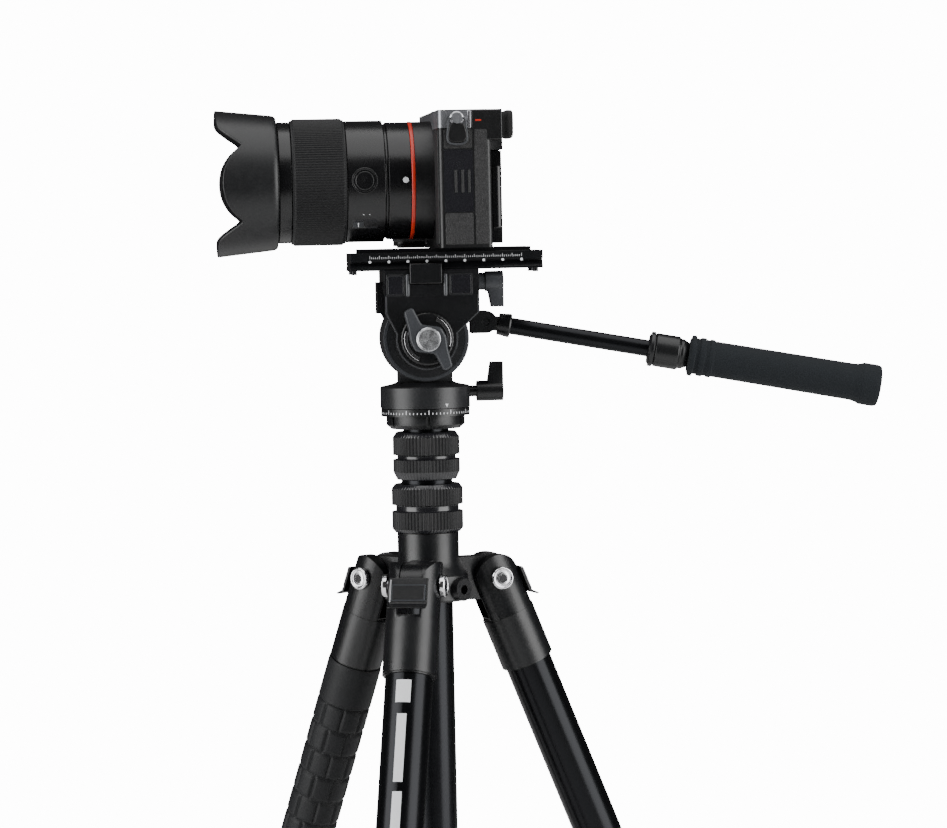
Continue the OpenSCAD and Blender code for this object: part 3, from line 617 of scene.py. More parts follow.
def legParts(leg):
    radial = np.array(joints[f"leg_{leg}_spread"]["axis"])
    outward = np.array((-radial[1], radial[0], 0))
    where = Place(joints[f"leg_{leg}_spread"]["pos_m"], joints[f"leg_{leg}_middle_extend"]["axis"], outward)
    base = f"leg_{leg}"
    place(dress(smoothedNode(f"{base}_yoke", 0.7 * mm, 3), "casting"), base, "casting", f"{base}_yoke")
    place(latchPiece(leg, where), f"{base}_latch", "grey_metal", f"{base}_latch")
    middle = reach(f"{base}_middle_tube", where)[2]
    tube = anodisedPaint(f"{leg}LegTube", (0.006, 0.0064, 0.0076), where.along, 0.24)
    for part in ("upper_tube", "middle_tube"):
        wear(frame["nodes"][f"{base}_{part}"], tube)
    lowerTube = 9.1 * mm
    place(legLock(f"{base}_upper_lock_ribbed", f"{base}_upper_lock", where, middle),
          f"{base}_upper_lock", "ribbed_rubber", f"{base}_upper_lock")
    place(legLock(f"{base}_lower_lock_ribbed", f"{base}_lower_lock", where, lowerTube),
          f"{base}_lower_lock", "ribbed_rubber", f"{base}_lower_lock")
    low, high, footRadius = reach(f"{base}_lower_leg", where)
    shank = turned("shank", where, [(low, lowerTube), (high - 24 * mm, lowerTube),
                                    (high - 24 * mm, lowerTube - 1.2 * mm), (low, lowerTube - 1.2 * mm)],
                   96, 0)
    ball = high - footRadius
    arcs = np.linspace(0, turn / 4, 14)
    dome = [(ball + footRadius * math.sin(a), max(footRadius * math.cos(a), 0)) for a in arcs]
    neck = 11.5 * mm

    def tread(angle, along, radius):
        # Square notches round the widest band of the foot.
        band = (np.abs(along - (ball - 2 * mm)) < 2.2 * mm) * (radius > footRadius * 0.97)
        return -0.4 * mm * (np.sin(24 * angle) > 0.3) * band

    socket = [(high - 29 * mm, lowerTube), (high - 29 * mm, neck - 0.6 * mm), (high - 28 * mm, neck),
              (ball - 6 * mm, neck), (ball - 4.5 * mm, footRadius)]
    bore = [(high - 14 * mm, 0), (high - 14 * mm, lowerTube)]
    foot = turned("foot", where, socket + dome + bore, 96, 0.3 * mm, tread)
    place(joined(f"{base}_lower_leg_and_foot", [wear(shank, tube), dress(foot, "foot")]),
          f"{base}_lower", "anodised_tube", f"{base}_lower_leg")
    if leg == "left":
        place(legGrip(where), base, "ribbed_rubber", "leg_left_grip")
    return where


latchSizes = {"half": 10 * mm, "plate": 1.6 * mm, "lip": 3.2 * mm, "window": (3.6 * mm, 12.6 * mm)}


def latchPiece(leg, where):
    # Pressed plate with a framed blank window, a crease below it and a lip that flares outwards.
    low, high, _ = reach(f"leg_{leg}_latch", where)
    half = latchSizes["half"]
    face = 2 * mm - reach(f"leg_{leg}_yoke", where)[0]
    back, tip = face - latchSizes["plate"], face + latchSizes["lip"]
    crease = high - 6.2 * mm
    line = softened([(low, face), (crease, face), (crease + 0.6 * mm, face - 0.5 * mm),
                     (crease + 1.2 * mm, face),
                     (high - 3.4 * mm, face), (high - 0.3 * mm, tip), (high, tip - 1.2 * mm),
                     (high - 3 * mm, back), (low, back)], 0.5 * mm, 5)
    across = np.linspace(-half, half, 15)
    s, a = line[:, 0][:, None] + 0 * across, line[:, 1][:, None] + 0 * across
    points = where.at(s, a, across[None, :] + 0 * s)
    rows, columns = len(line), len(across)
    ends = [[r * columns for r in range(rows)], [r * columns + columns - 1 for r in range(rows)]]
    blade = piece("blade", points, gridFaces(rows, columns, True, False) + ends, 40)
    addBevel(blade, 0.3 * mm)
    top, bottom = latchSizes["window"]
    middle = Place(where.origin + where.along * (top + bottom) / 2, where.across, where.along)
    span = (bottom - top) / 2
    parts = [dress(blade, "satinHead")]
    for name, deep, wide, finish, proud in (("frame", span, half - 0.9 * mm, "latchGrey", 0.3),
                                            ("window", span - 0.7 * mm, half - 1.6 * mm, "satinHead", 0.42)):
        outline = softened([(-deep, -wide), (deep, -wide), (deep, wide), (-deep, wide)], 0.6 * mm)
        parts.append(dress(extruded(name, middle, outline, face - 0.2 * mm, face + proud * mm, 0.12 * mm),
                           finish))
    edge = Place(where.origin + where.along * high / 2 + where.third * (half - 0.35 * mm), where.across,
                 where.along)
    rail = softened([(-high / 2 + 1 * mm, -0.35 * mm), (high / 2 - 4 * mm, -0.35 * mm),
                     (high / 2 - 4 * mm, 0.35 * mm), (-high / 2 + 1 * mm, 0.35 * mm)], 0.3 * mm)
    parts.append(dress(extruded("rail", edge, rail, face - 0.2 * mm, face + 0.25 * mm, 0.1 * mm), "steel"))
    return joined(f"leg_{leg}_latch_plate", parts)


def legMarks(where, radius):
    # Plain light bars printed along the front leg: curved patches a hair above the tube.
    parts = []
    for start, end, wide in ((54, 66, 8), (72, 108, 5), (113, 149, 5), (154, 190, 5)):
        angle = np.linspace(-wide / 2 * mm / radius, wide / 2 * mm / radius, 9)
        s = np.linspace(start * mm, end * mm, 5)[:, None] + 0 * angle
        layers = [where.at(s, (radius + lift) * np.cos(angle), (radius + lift) * np.sin(angle))
                  for lift in (0.06 * mm, -0.1 * mm)]
        points = np.concatenate([layers[0], layers[1][:, ::-1]], 1)
        sheet = piece("bar", points, gridFaces(5, 18, False, True) + [list(range(18)), list(range(72, 90))])
        parts.append(dress(sheet, "white"))
    return joined("leg_front_marks", parts)


legPlaces = {leg: legParts(leg) for leg in ("front", "right", "left")}


def hingeBolts():
    # Plated heads with a raised ring round a hexagon socket, one at each end of each hinge. The socket is a flat
    # dark hexagon on the head: painted shade in place of the hole.
    parts = []
    line = [(s * mm, r * mm) for s, r in boltSizes["head"]]
    for leg, where in legPlaces.items():
        axis = np.array(joints[f"leg_{leg}_spread"]["axis"])
        for side in (-1, 1):
            seat = Place(where.origin + side * axis * boltSizes["seat"], side * axis, (0, 0, 1))
            parts.append(dress(turned("head", seat, line, 72, 0.2 * mm, sharp=50), "chrome"))
            # Painted shade: a dark hexagon sheet on the head stands for the shaded socket hole.
            hexagon = np.linspace(0, turn, 6, endpoint=False)
            outline = boltSizes["socket"] * np.stack([np.cos(hexagon), np.sin(hexagon)], 1)
            low = boltSizes["head"][-1][0] * mm
            parts.append(dress(extruded("socket", seat, outline, low - 0.1 * mm, low + 0.03 * mm, 0),
                               "groove"))
        shaft = Place(where.origin, axis, (0, 0, 1))
        reachOut = boltSizes["seat"] + 0.5 * mm
        parts.append(dress(turned("shaft", shaft, [(-reachOut, 0), (-reachOut, 2.9 * mm),
                                                   (reachOut, 2.9 * mm),
                                                   (reachOut, 0)], 32, 0), "steel"))
    return joined("hinge_bolts_plated", parts)


place(hingeBolts(), "spider", "chrome_steel", "hinge_bolts")
frontTube = reach("leg_front_upper_tube", legPlaces["front"])[2]
place(legMarks(legPlaces["front"], frontTube), "leg_front", "anodised_tube")
print("legs ready")


# Spider and column

up = Place((0, 0, 0), (0, 0, 1), (0, -1, 0))
place(dress(smoothedNode("spider", 0.9 * mm, 3), "casting"), "spider", "casting", "spider")
place(dress(smoothedNode("column_hook", 0.3 * mm), "casting"), "column", "casting", "column_hook")
columnTube = anodisedPaint("columnTube", (0.008, 0.0085, 0.01), (0, 0, 1), 0.27)
for node in ("column_tube", "extension_tube"):
    wear(frame["nodes"][node], columnTube)

columnLocks = {
    "column_lock": {"heights": (0, 2.1, 11.1, 14.8, 23.3, 25.7), "groove": 2.2, "neck": 1.8, "bore": 12.8,
                    "ribs": 62},
    "extension_lock": {"heights": (0, 4.2, 10.6, 13.2, 22.4, 25.3), "groove": 2.3, "neck": 2.0, "bore": 12.8,
                       "ribs": 58},
}


def columnLock(node):
    # Two bands of upright ribs with a smooth glossy waist between them.
    sizes = columnLocks[node]
    low, high, radius = reach(node, up)
    z = [low + h * mm for h in sizes["heights"]]
    z[-1] = high
    waist, neck, bore = (radius - sizes["groove"] * mm, radius - sizes["neck"] * mm, sizes["bore"] * mm)
    profile = [(z[0], bore), (z[0], neck), (z[1], radius), (z[2], radius), (z[2] + 0.5 * mm, waist),
               (z[3] - 0.5 * mm, waist), (z[3], radius), (z[4], radius), (z[5], neck), (z[5], bore)]
    obj = turned(node + "_ribbed", up, profile, sizes["ribs"] * 6, 0.3 * mm,
                 ribs(sizes["ribs"], 0.45 * mm, radius - 0.15 * mm), sharp=60)
    dress(obj, "rib")
    obj.data.materials.append(finishes["groove"])
    centres = np.empty(len(obj.data.polygons) * 3, np.float32)
    obj.data.polygons.foreach_get("center", centres)
    centres = centres.reshape(-1, 3)
    smooth = (centres[:, 2] > z[2]) & (centres[:, 2] < z[3]) | (centres[:, 2] < z[1]) | (centres[:, 2] > z[4])
    obj.data.polygons.foreach_set("material_index", smooth.astype(np.int32))
    place(obj, node, "ribbed_rubber", node)


for node in columnLocks:
    columnLock(node)
print("column ready")


# Fluid head

scaleSizes = {"ticks": 72, "tall": 2.2 * mm, "short": 1.0 * mm, "wide": 0.45 * mm, "proud": 0.05 * mm}


def tickRing(name, radius, z, count, every, sizes):
    # Short upright marks round a ring; each fifth one is taller. One curved patch a mark.
    k = np.arange(count)
    tall = np.where(k % every == 0, sizes["tall"], sizes["short"])
    half = sizes["wide"] / 2 / radius
    centre = k / count * turn
    corners = np.stack([centre - half, centre + half, centre + half, centre - half], 1)
    heights = np.stack([0 * tall, 0 * tall, tall, tall], 1) + z
    outer = radius + sizes["proud"]
    front = np.stack([outer * np.cos(corners), outer * np.sin(corners), heights], -1)
    inner = radius - sizes["proud"]
    back = np.stack([inner * np.cos(corners), inner * np.sin(corners), heights], -1)
    points = np.concatenate([front, back], 1)
    box = np.array([(0, 1, 2, 3), (7, 6, 5, 4), (0, 4, 5, 1), (1, 5, 6, 2), (2, 6, 7, 3), (3, 7, 4, 0)])
    faces = (box[None] + 8 * np.arange(count)[:, None, None]).reshape(-1, 4).tolist()
    return dress(piece(name, points, faces), "white")


baseLow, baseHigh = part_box("mount_base")
place(dress(smoothedNode("mount_base", 0.35 * mm), "satinHead"), "extension", "casting", "mount_base")
scaleLow = baseLow.z + 6.9 * mm
place(tickRing("pan_scale_marks", baseHigh.y, scaleLow + 1.2 * mm, scaleSizes["ticks"], 6, scaleSizes),
      "extension", "casting")
place(dress(smoothedNode("pan_housing", 0.6 * mm, 3), "panGrey"), "pan", "casting", "pan_housing")

panLow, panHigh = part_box("pan_housing")
panRadius = panHigh.y
markAngle = math.radians(-66)
markOut = np.array((math.cos(markAngle), math.sin(markAngle), 0))
markPlace = Place(markOut * panRadius + np.array((0, 0, panLow.z + 1.6 * mm)), markOut, (0, 0, 1))
indexMark = extruded("pan_index_mark", markPlace,
                     [(-0.9 * mm, 0), (0.9 * mm, -0.9 * mm), (0.9 * mm, 0.9 * mm)],
                     -0.3 * mm, 0.06 * mm, 0)
place(dress(indexMark, "white"), "pan", "casting")


def leverRibs(node, x, y, low, high, count):
    # Fine cross ribs on the outer face of a lock lever's arm.
    bars = []
    for z in np.linspace(low, high, count):
        where = Place((x, y, z), (0, 1, 0), (1, 0, 0))
        bars.append(extruded("bar", where, [(-0.1 * mm, -0.4 * mm), (0.42 * mm, -0.3 * mm),
                                            (0.42 * mm, 0.3 * mm), (-0.1 * mm, 0.4 * mm)],
                             -3.1 * mm, 3.1 * mm, 0.08 * mm))
    return bars


for node, body, below in (("pan_lever", "pan_lever", False), ("clamp_lever", "clamp_lever", True)):
    low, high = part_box(node)
    core = smoothedNode(node, 0.7 * mm, 3)
    span = (low.z + 1.2 * mm, low.z + 7 * mm) if below else (high.z - 7 * mm, high.z - 1.2 * mm)
    bars = leverRibs(node, high.x - 0.4 * mm, (low.y + high.y) / 2, *span, 5)
    finish = finishes["knobGrey"] if below else finishes["satinHead"]
    place(joined(node + "_finished", [wear(p, finish) for p in [core] + bars]), body, slotOf(node), node)



blockSizes = {"low": 22.6, "high": 34.2, "cells": ((-20.8, -11.2), (12.2, 24.5)), "ribs": (-9.6, 10.3),
              "waist": (16.3, math.radians(10), math.radians(-190)), "back": 27.8}


def tiltBody():
    # The cast body, with framed pockets and two raised upright ribs on its near face; the ribs and a band round
    # the cheek's edge are in a lighter grey that is painted highlight.
    low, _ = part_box("tilt_body")
    pivot = np.array(joints["tilt"]["pos_m"])
    face = Place((0, 0, pivot[2]), (0, -1, 0), (1, 0, 0))
    out = -low.y
    z0, z1 = blockSizes["low"] * mm, blockSizes["high"] * mm
    parts = [dress(smoothedNode("tilt_body", 0.6 * mm, 3), "satinHead")]
    for x0, x1 in blockSizes["cells"]:
        for inset, proud, finish in ((0, 0.3, "panGrey"), (0.8, 0.36, "groove")):
            outline = softened([((x0 + inset) * mm, z0 + inset * mm), ((x1 - inset) * mm, z0 + inset * mm),
                                ((x1 - inset) * mm, z1 - inset * mm), ((x0 + inset) * mm, z1 - inset * mm)],
                               1 * mm, 6)
            parts.append(dress(extruded("cell", face, outline, out - 1 * mm, out + proud * mm, 0.15 * mm),
                               finish))
    arc = np.linspace(blockSizes["waist"][1], blockSizes["waist"][2], 60)
    # Painted highlight: the lighter outer outline shows as a bright band round the cheek's edge.
    for inset, proud, finish in ((0, 0.1, "drumGrey"), (0.7, 0.2, "satinHead")):
        size = blockSizes["waist"][0] - inset
        sides = [((low.x / mm + 3.3 + inset), 13.7), ((low.x / mm + 3.3 + inset), z0 / mm)]
        sides += [(blockSizes["back"] - inset, z0 / mm), (blockSizes["back"] - inset, 13.7)]
        outline = [(x * mm, z * mm) for x, z in sides]
        outline += [(size * math.cos(a) * mm, size * math.sin(a) * mm) for a in arc]
        parts.append(dress(extruded("cheek", face, np.array(outline), out - 1 * mm, out + proud * mm,
                                    0.08 * mm),
                           finish))
    # Painted highlight: raised ribs coloured in the lighter grey so that they read as bright strips.
    for x in blockSizes["ribs"]:
        rib = Place((x * mm, -out + 0.4 * mm, pivot[2]), (0, 0, 1), (1, 0, 0))
        parts.append(dress(turned("rib", rib,
                                  [(z0 - 0.3 * mm, 0), (z0 - 0.3 * mm, 0.8 * mm), (z0 + 0.6 * mm, 1.1 * mm),
                                   (z1 - 0.6 * mm, 1.1 * mm), (z1, 0.8 * mm), (z1, 0)], 32,
                                  0.3 * mm),
                           "drumGrey"))
    return joined("tilt_body_finished", parts)


place(tiltBody(), "head", "casting", "tilt_body")
place(dress(smoothedNode("clamp_jaw", 0.5 * mm, 2), "satinHead"), "clamp_jaw", "black_plastic", "clamp_jaw")

tilt = Place(joints["tilt"]["pos_m"], (0, -1, 0), (1, 0, 0))
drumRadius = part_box("tilt_drum")[1].x
drum = dress(smoothedNode("tilt_drum", 0.5 * mm, 2), "panGrey")
rim = turned("rim", tilt, [(14.2 * mm, drumRadius), (15.12 * mm, drumRadius - 0.4 * mm),
                           (15.12 * mm, drumRadius - 2.2 * mm), (14.2 * mm, drumRadius - 2.5 * mm)], 128,
             0.2 * mm)
place(joined("tilt_drum_finished", [drum, dress(rim, "knobGrey")]), "pan", "grey_metal", "tilt_drum")

# Half of the knob's outline, in millimetres across and up; the other half is the same turned half round.
knobHalf = [(-3.5, 7.9), (-8.0, 17.0), (-12.6, 14.4), (-10.2, 5.3), (-9.4, -1.5), (-6.6, -6.4)]


def knobOutline():
    half = np.array(knobHalf) * mm
    return softened(np.vstack([half, -half]), 1.6 * mm, 6)


def tiltKnob():
    face = 0.3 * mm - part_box("tilt_body")[0].y
    wing = extruded("wing", tilt, knobOutline(), face + 2.2 * mm, face + 9.4 * mm, 1.0 * mm, 4)
    dial = turned("dial", tilt,
                  [(face, 0), (face, 14 * mm), (face + 2.6 * mm, 14 * mm), (face + 3 * mm, 13 * mm),
                   (face + 3 * mm, 0)], 120, 0.3 * mm, ribs(40, 0.3 * mm, 13.6 * mm))
    parts = [dress(wing, "knobGrey"), dress(dial, "satinHead")]
    for start in (-0.35, math.pi - 0.35):
        middle = Place(tilt.origin, tilt.along, math.cos(start) * tilt.across + math.sin(start) * tilt.third)
        arc = turned("arc", middle, [(face + 2.8 * mm, 10.2 * mm), (face + 3.5 * mm, 10.4 * mm),
                                     (face + 3.5 * mm, 12.3 * mm), (face + 2.8 * mm, 12.5 * mm)],
                     40, 0.15 * mm, arc=1.5)
        parts.append(dress(arc, "chrome"))
    disc = turned("disc", tilt,
                  [(face + 8.5 * mm, 0), (face + 8.5 * mm, 6.4 * mm), (face + 10.0 * mm, 6.4 * mm),
                   (face + 10.4 * mm, 5.9 * mm), (face + 10.15 * mm, 5.2 * mm),
                   (face + 10.3 * mm, 0)], 96, 0.15 * mm)
    parts.append(wear(disc, spunPaint("spunDisc", tilt.origin)))
    stem = turned("stem", tilt,
                  [(13 * mm, 0), (13 * mm, 3 * mm), (face + 0.2 * mm, 3 * mm), (face + 0.2 * mm, 0)], 48, 0)
    parts.append(dress(stem, "steel"))
    return joined("tilt_knob_butterfly", parts)


place(tiltKnob(), "tilt_knob", "grey_metal", "tilt_knob")
print("head ready")


# Quick plate

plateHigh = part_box("quick_plate")[1]
plateSizes = {"dot": 0.75 * mm, "tick": 0.25 * mm, "proud": 0.05 * mm}


def plateMarks():
    # Dots every 10 mm along both long edges, joined by a row of fine ticks.
    parts = []
    z = plateHigh.z - 6.8 * mm
    for side in (-1, 1):
        out = Place((0, side * plateHigh.y, z), (0, side, 0), (1, 0, 0))
        for k in range(-2, 7):
            spot = np.linspace(0, turn, 14, endpoint=False)
            ring = np.stack([plateSizes["dot"] * np.cos(spot) + (k * 10 - 9) * mm + 0 * spot,
                             plateSizes["dot"] * np.sin(spot)], 1)
            parts.append(extruded("dot", out, ring, -0.1 * mm, plateSizes["proud"], 0))
        for k in range(-20, 61):
            x, tall = (k - 9) * mm, (1.6 if k % 5 == 0 else 0.9) * mm
            w = plateSizes["tick"] / 2
            parts.append(extruded("tick", out,
                                  [(x - w, 1.6 * mm), (x + w, 1.6 * mm), (x + w, 1.6 * mm + tall),
                                   (x - w, 1.6 * mm + tall)], -0.1 * mm, plateSizes["proud"], 0))
    return joined("plate_marks", [dress(p, "white") for p in parts])


place(dress(smoothedNode("quick_plate", 0.4 * mm), "plate"), "camera", "anodised_tube", "quick_plate")
place(plateMarks(), "camera", "anodised_tube")
place(dress(smoothedNode("camera_screw", 0.3 * mm), "steel"), "camera", "chrome_steel", "camera_screw")
print("plate ready")


# Pan handle

handleAxis = np.array(joints["handle_extend"]["axis"])
handle = Place(joints["handle_angle"]["pos_m"], handleAxis, (0, 0, 1))
place(dress(smoothedNode("handle_socket", 0.5 * mm, 3), "satinHead"), "handle", "black_plastic",
      "handle_socket")
wear(frame["nodes"]["handle_rod"], anodisedPaint("handleRod", (0.008, 0.0085, 0.01), handleAxis, 0.3))

collarLow = reach("handle_collar", handle)[0]
collarProfile = [(0, 4.9), (0, 7.6), (0.8, 8.2), (0.9, 9.35), (3.0, 9.35), (3.4, 8.2), (4.0, 9.0),
                 (16.0, 9.0), (17.2, 8.0), (18.6, 8.0), (21.5, 6.6), (21.5, 4.9)]


def flutes(angle, along, radius):
    # Twenty flutes round the middle of the collar, from a steep tanh of a sine.
    wave = 0.5 - 0.5 * np.tanh(3 * np.sin(20 * angle))
    return -0.35 * mm * wave * (np.abs(along - collarLow - 10 * mm) < 5.6 * mm) * (radius > 8.7 * mm)


collar = turned("handle_collar_fluted", handle, [(collarLow + s * mm, r * mm) for s, r in collarProfile],
                240, 0.3 * mm, flutes, sharp=50)
place(dress(collar, "satinHead"), "handle_collar", "black_plastic", "handle_collar")

gripLow, gripHigh = reach("handle_grip", handle)[:2]
gripLine = [(0, 4.9), (0, 8.4), (0.6, 9.6), (1.0, 10.9), (3.0, 11.0), (3.5, 9.7), (5.4, 9.6), (5.8, 10.3),
            (8.4, 10.4), (8.9, 9.7), (10.6, 9.7), (11.0, 10.2), (12.8, 10.2), (13.6, 9.6)]
length = (gripHigh - gripLow) / mm
gripEnd = [(length - 15, 9.9), (length - 12, 10.4), (length - 10, 11.25), (length - 2.5, 11.25),
           (length - 0.6, 10.6), (length, 8.6), (length, 0), (length - 4, 0), (length - 4, 4.9)]
middleLine = [(s, 9.6 + 0.3 * (s - 13.6) / (length - 28.6)) for s in np.linspace(16, length - 17, 30)]
grip = turned("handle_grip_foam", handle,
              [(gripLow + s * mm, r * mm) for s, r in gripLine + middleLine + gripEnd],
              160, 0.35 * mm, sharp=60)
place(dress(grip, "foam"), "handle_grip", "foam", "handle_grip")
print("handle ready")


# Lens

opticZ = (glassBox[0].z + glassBox[1].z) / 2
optic = Place((0, 0, opticZ), (-1, 0, 0), (0, 0, 1))
ringLow, ringHigh, ringRadius = reach("focus_ring", optic)
hoodLow, hoodHigh, hoodRadius = reach("lens_hood", optic)
barrelLow, barrelHigh, barrelRadius = reach("lens_barrel", optic)


def lensBarrel():
    # Turned sections from the mount forwards: red ring, rear section, waist, switch section, front ring.
    low = barrelLow
    rear = turned("rear", optic,
                  [(low + 2.1 * mm, 24.6 * mm), (low + 2.1 * mm, 30.9 * mm), (low + 13.9 * mm, 30.9 * mm),
                   (low + 14.3 * mm, 30.1 * mm), (low + 15.5 * mm, 30.1 * mm),
                   (low + 15.8 * mm, barrelRadius), (ringLow - 0.3 * mm, barrelRadius),
                   (ringLow - 0.3 * mm, 29 * mm), (ringHigh + 0.3 * mm, 29 * mm),
                   (ringHigh + 0.3 * mm, 31.9 * mm), (hoodLow - 0.4 * mm, 31.9 * mm),
                   (hoodLow - 0.4 * mm, 29.9 * mm), (barrelHigh - 0.5 * mm, 29.9 * mm),
                   (barrelHigh, 29.4 * mm), (barrelHigh, 27.5 * mm),
                   (barrelHigh - 1.5 * mm, 26.5 * mm), (barrelHigh - 1.5 * mm, 24.6 * mm)], 192, 0.45 * mm)
    red = turned("red", optic, [(low, 24.6 * mm), (low, 30.7 * mm), (low + 0.4 * mm, 31.15 * mm),
                                (low + 1.7 * mm, 31.15 * mm), (low + 2.1 * mm, 30.8 * mm),
                                (low + 2.1 * mm, 24.6 * mm)],
                 192, 0.2 * mm)
    parts = [dress(rear, "plastic"), dress(red, "red")]
    side = Place((-31.5 * mm, 0, opticZ), (0, -1, 0), (1, 0, 0))
    bezel = turned("bezel", side, [(30.4 * mm, 5.35 * mm), (30.4 * mm, 6.9 * mm), (31.9 * mm, 6.9 * mm),
                                   (32.15 * mm, 6.5 * mm), (31.9 * mm, 5.6 * mm)], 72, 0.2 * mm)
    parts.append(dress(bezel, "plastic"))
    dotOut = Place((-10 * mm, 0, opticZ), (0, -1, 0), (1, 0, 0))
    dot = turned("dot", dotOut,
                 [(30.6 * mm, 0), (30.6 * mm, 1.6 * mm), (30.97 * mm, 1.55 * mm), (31.02 * mm, 0)], 32, 0)
    parts.append(dress(dot, "white"))
    slant = np.array((0, -math.cos(turn / 8), -math.sin(turn / 8)))
    slot = Place(np.array((-31.3 * mm, 0, opticZ)), slant, (1, 0, 0))
    frameLine = softened([(-6.9 * mm, -3.3 * mm), (6.9 * mm, -3.3 * mm), (6.9 * mm, 3.3 * mm),
                          (-6.9 * mm, 3.3 * mm)],
                         1.2 * mm, 6)
    parts.append(dress(extruded("frame", slot, frameLine, 30.6 * mm, 31.95 * mm, 0.25 * mm), "groove"))
    for a in (-0.9 * mm, 2.2 * mm):
        mark = [(a - 0.35 * mm, 5.0 * mm), (a + 0.35 * mm, 5.0 * mm), (a + 0.35 * mm, 6.6 * mm),
                (a - 0.35 * mm, 6.6 * mm)]
        parts.append(dress(extruded("mark", slot, mark, 30.6 * mm, 31.4 * mm, 0), "white"))
    return joined("lens_barrel_turned", parts)


place(lensBarrel(), "camera", slotOf("lens_barrel"), "lens_barrel")

focusRibs = ribs(150, 0.42 * mm, ringRadius - 0.5 * mm)
band = [ringLow + 0.9 * mm, ringLow + 1.6 * mm, ringHigh - 1.6 * mm, ringHigh - 0.9 * mm]
focus = turned("focus_ring_ribbed", optic,
               [(ringLow, 29.4 * mm), (ringLow, ringRadius - 0.8 * mm), (band[0], ringRadius - 0.7 * mm),
                (band[1], ringRadius), (band[2], ringRadius),
                (band[3], ringRadius - 0.7 * mm), (ringHigh, ringRadius - 0.8 * mm), (ringHigh, 29.4 * mm)],
               900, 0.2 * mm, focusRibs, sharp=60)
place(dress(focus, "rib"), "focus_ring", slotOf("focus_ring"), "focus_ring")

hoodSizes = {"wall": 1.8 * mm, "notch": 15 * mm, "low": 19.5 * mm, "wide": 29 * mm, "sideRadius": 24 * mm,
             "sideBack": 2.4 * mm, "soft": 1.5 * mm}


def hoodMouth(angle):
    # Where the rim ends at an angle from the top. The height above the axis decides: a straight flank
    # runs up from the notch to the long petal, and a circle makes the side petal. A soft maximum of both
    # rounds the notch.
    height = np.abs(hoodRadius * 0.97 * np.cos(angle))
    low, wide, notch = hoodSizes["low"], hoodSizes["wide"], hoodSizes["notch"]
    flank = (height - low) / (wide - low) * notch - notch
    roundSide = np.sqrt(np.maximum(hoodSizes["sideRadius"] ** 2 - height ** 2, 0))
    side = roundSide - hoodSizes["sideRadius"] - hoodSizes["sideBack"]
    soft = hoodSizes["soft"]
    both = soft * np.logaddexp(flank / soft, side / soft)
    return hoodHigh - soft * np.logaddexp(0, -both / soft) * (both < 4 * soft)


def petalHood():
    angle = np.linspace(0, turn, 360, endpoint=False)
    mouth = np.minimum(hoodMouth(angle), hoodHigh)
    wall, low = hoodSizes["wall"], hoodLow

    def outer(s):
        # Outside radius at a distance along the axis: a straight flare to the mouth.
        return 35.5 * mm + (hoodRadius - 35.5 * mm) * (s - low - 1.4 * mm) / (hoodHigh - low - 1.4 * mm)

    rows = []
    for s, r in ((low, 30.4 * mm), (low, 34.2 * mm), (low + 0.4 * mm, 34.7 * mm),
                 (low + 1.2 * mm, 35.3 * mm)):
        rows.append((s + 0 * angle, r + 0 * angle))
    for t in np.linspace(0.05, 1, 34):
        s = low + 1.4 * mm + t * (mouth - 0.7 * mm - low - 1.4 * mm)
        rows.append((s, outer(s)))
    for a in np.linspace(0, turn / 2, 7):
        s = mouth - 0.7 * mm
        rows.append((s + 0.7 * mm * math.sin(a), outer(s) - wall / 2 + wall / 2 * math.cos(a)))
    for t in np.linspace(1, 0.03, 60):
        s = low + 4 * mm + t * (mouth - 0.7 * mm - low - 4 * mm)
        rows.append((s, outer(s) - wall - 0.28 * mm * (np.sin((s - low) * turn / (1.3 * mm)) > 0)))
    rows += [(low + 3 * mm + 0 * angle, 31.5 * mm + 0 * angle),
             (low + 2.6 * mm + 0 * angle, 30.4 * mm + 0 * angle)]
    along = np.array([r[0] for r in rows])
    radius = np.array([r[1] for r in rows])
    hood = surface("lens_hood_petals", optic.at(along, radius * np.cos(angle), radius * np.sin(angle)),
                   True, True, 40)
    dress(hood, "hood")
    hood.data.materials.append(finishes["flock"])
    centres = np.empty(len(hood.data.polygons) * 3, np.float32)
    normals = np.empty(len(hood.data.polygons) * 3, np.float32)
    hood.data.polygons.foreach_get("center", centres)
    hood.data.polygons.foreach_get("normal", normals)
    outwards = (centres.reshape(-1, 3)[:, 1:] - (0, opticZ)) * normals.reshape(-1, 3)[:, 1:]
    hood.data.polygons.foreach_set("material_index", (outwards.sum(1) < 0).astype(np.int32))
    return hood


place(petalHood(), "lens_hood", slotOf("lens_hood"), "lens_hood")

domeRise = 5.0 * mm
domeLine = [(barrelHigh - 6.5 * mm + domeRise * (1 - (r / 24.3) ** 2), r * mm)
            for r in np.linspace(0, 24.3, 28)]
dome = turned("dome", optic, domeLine + [(barrelHigh - 9 * mm, 24.3 * mm), (barrelHigh - 9 * mm, 0)], 96, 0,
              sharp=60)
innerLine = [(barrelHigh - 22 * mm + 4 * mm * (r / 17) ** 2, r * mm) for r in np.linspace(0, 17, 18)]
inner = turned("inner", optic,
               innerLine + [(barrelHigh - 17 * mm, 24 * mm), (barrelHigh - 10 * mm, 24.3 * mm),
                            (barrelHigh - 9.6 * mm, 24.4 * mm), (barrelHigh - 24 * mm, 24.4 * mm),
                            (barrelHigh - 24 * mm, 0)], 96, 0, sharp=60)
rearGlass = turned("rearGlass", optic,
                   [(8.2 * mm, 0), (8.2 * mm, 23 * mm), (11.8 * mm, 23 * mm), (11.8 * mm, 0)], 64, 0.3 * mm)
place(joined("lens_glass_domes", [dress(dome, "glass"), dress(inner, "groove"),
                                  dress(rearGlass, "glass")]), "camera", slotOf("lens_glass"), "lens_glass")

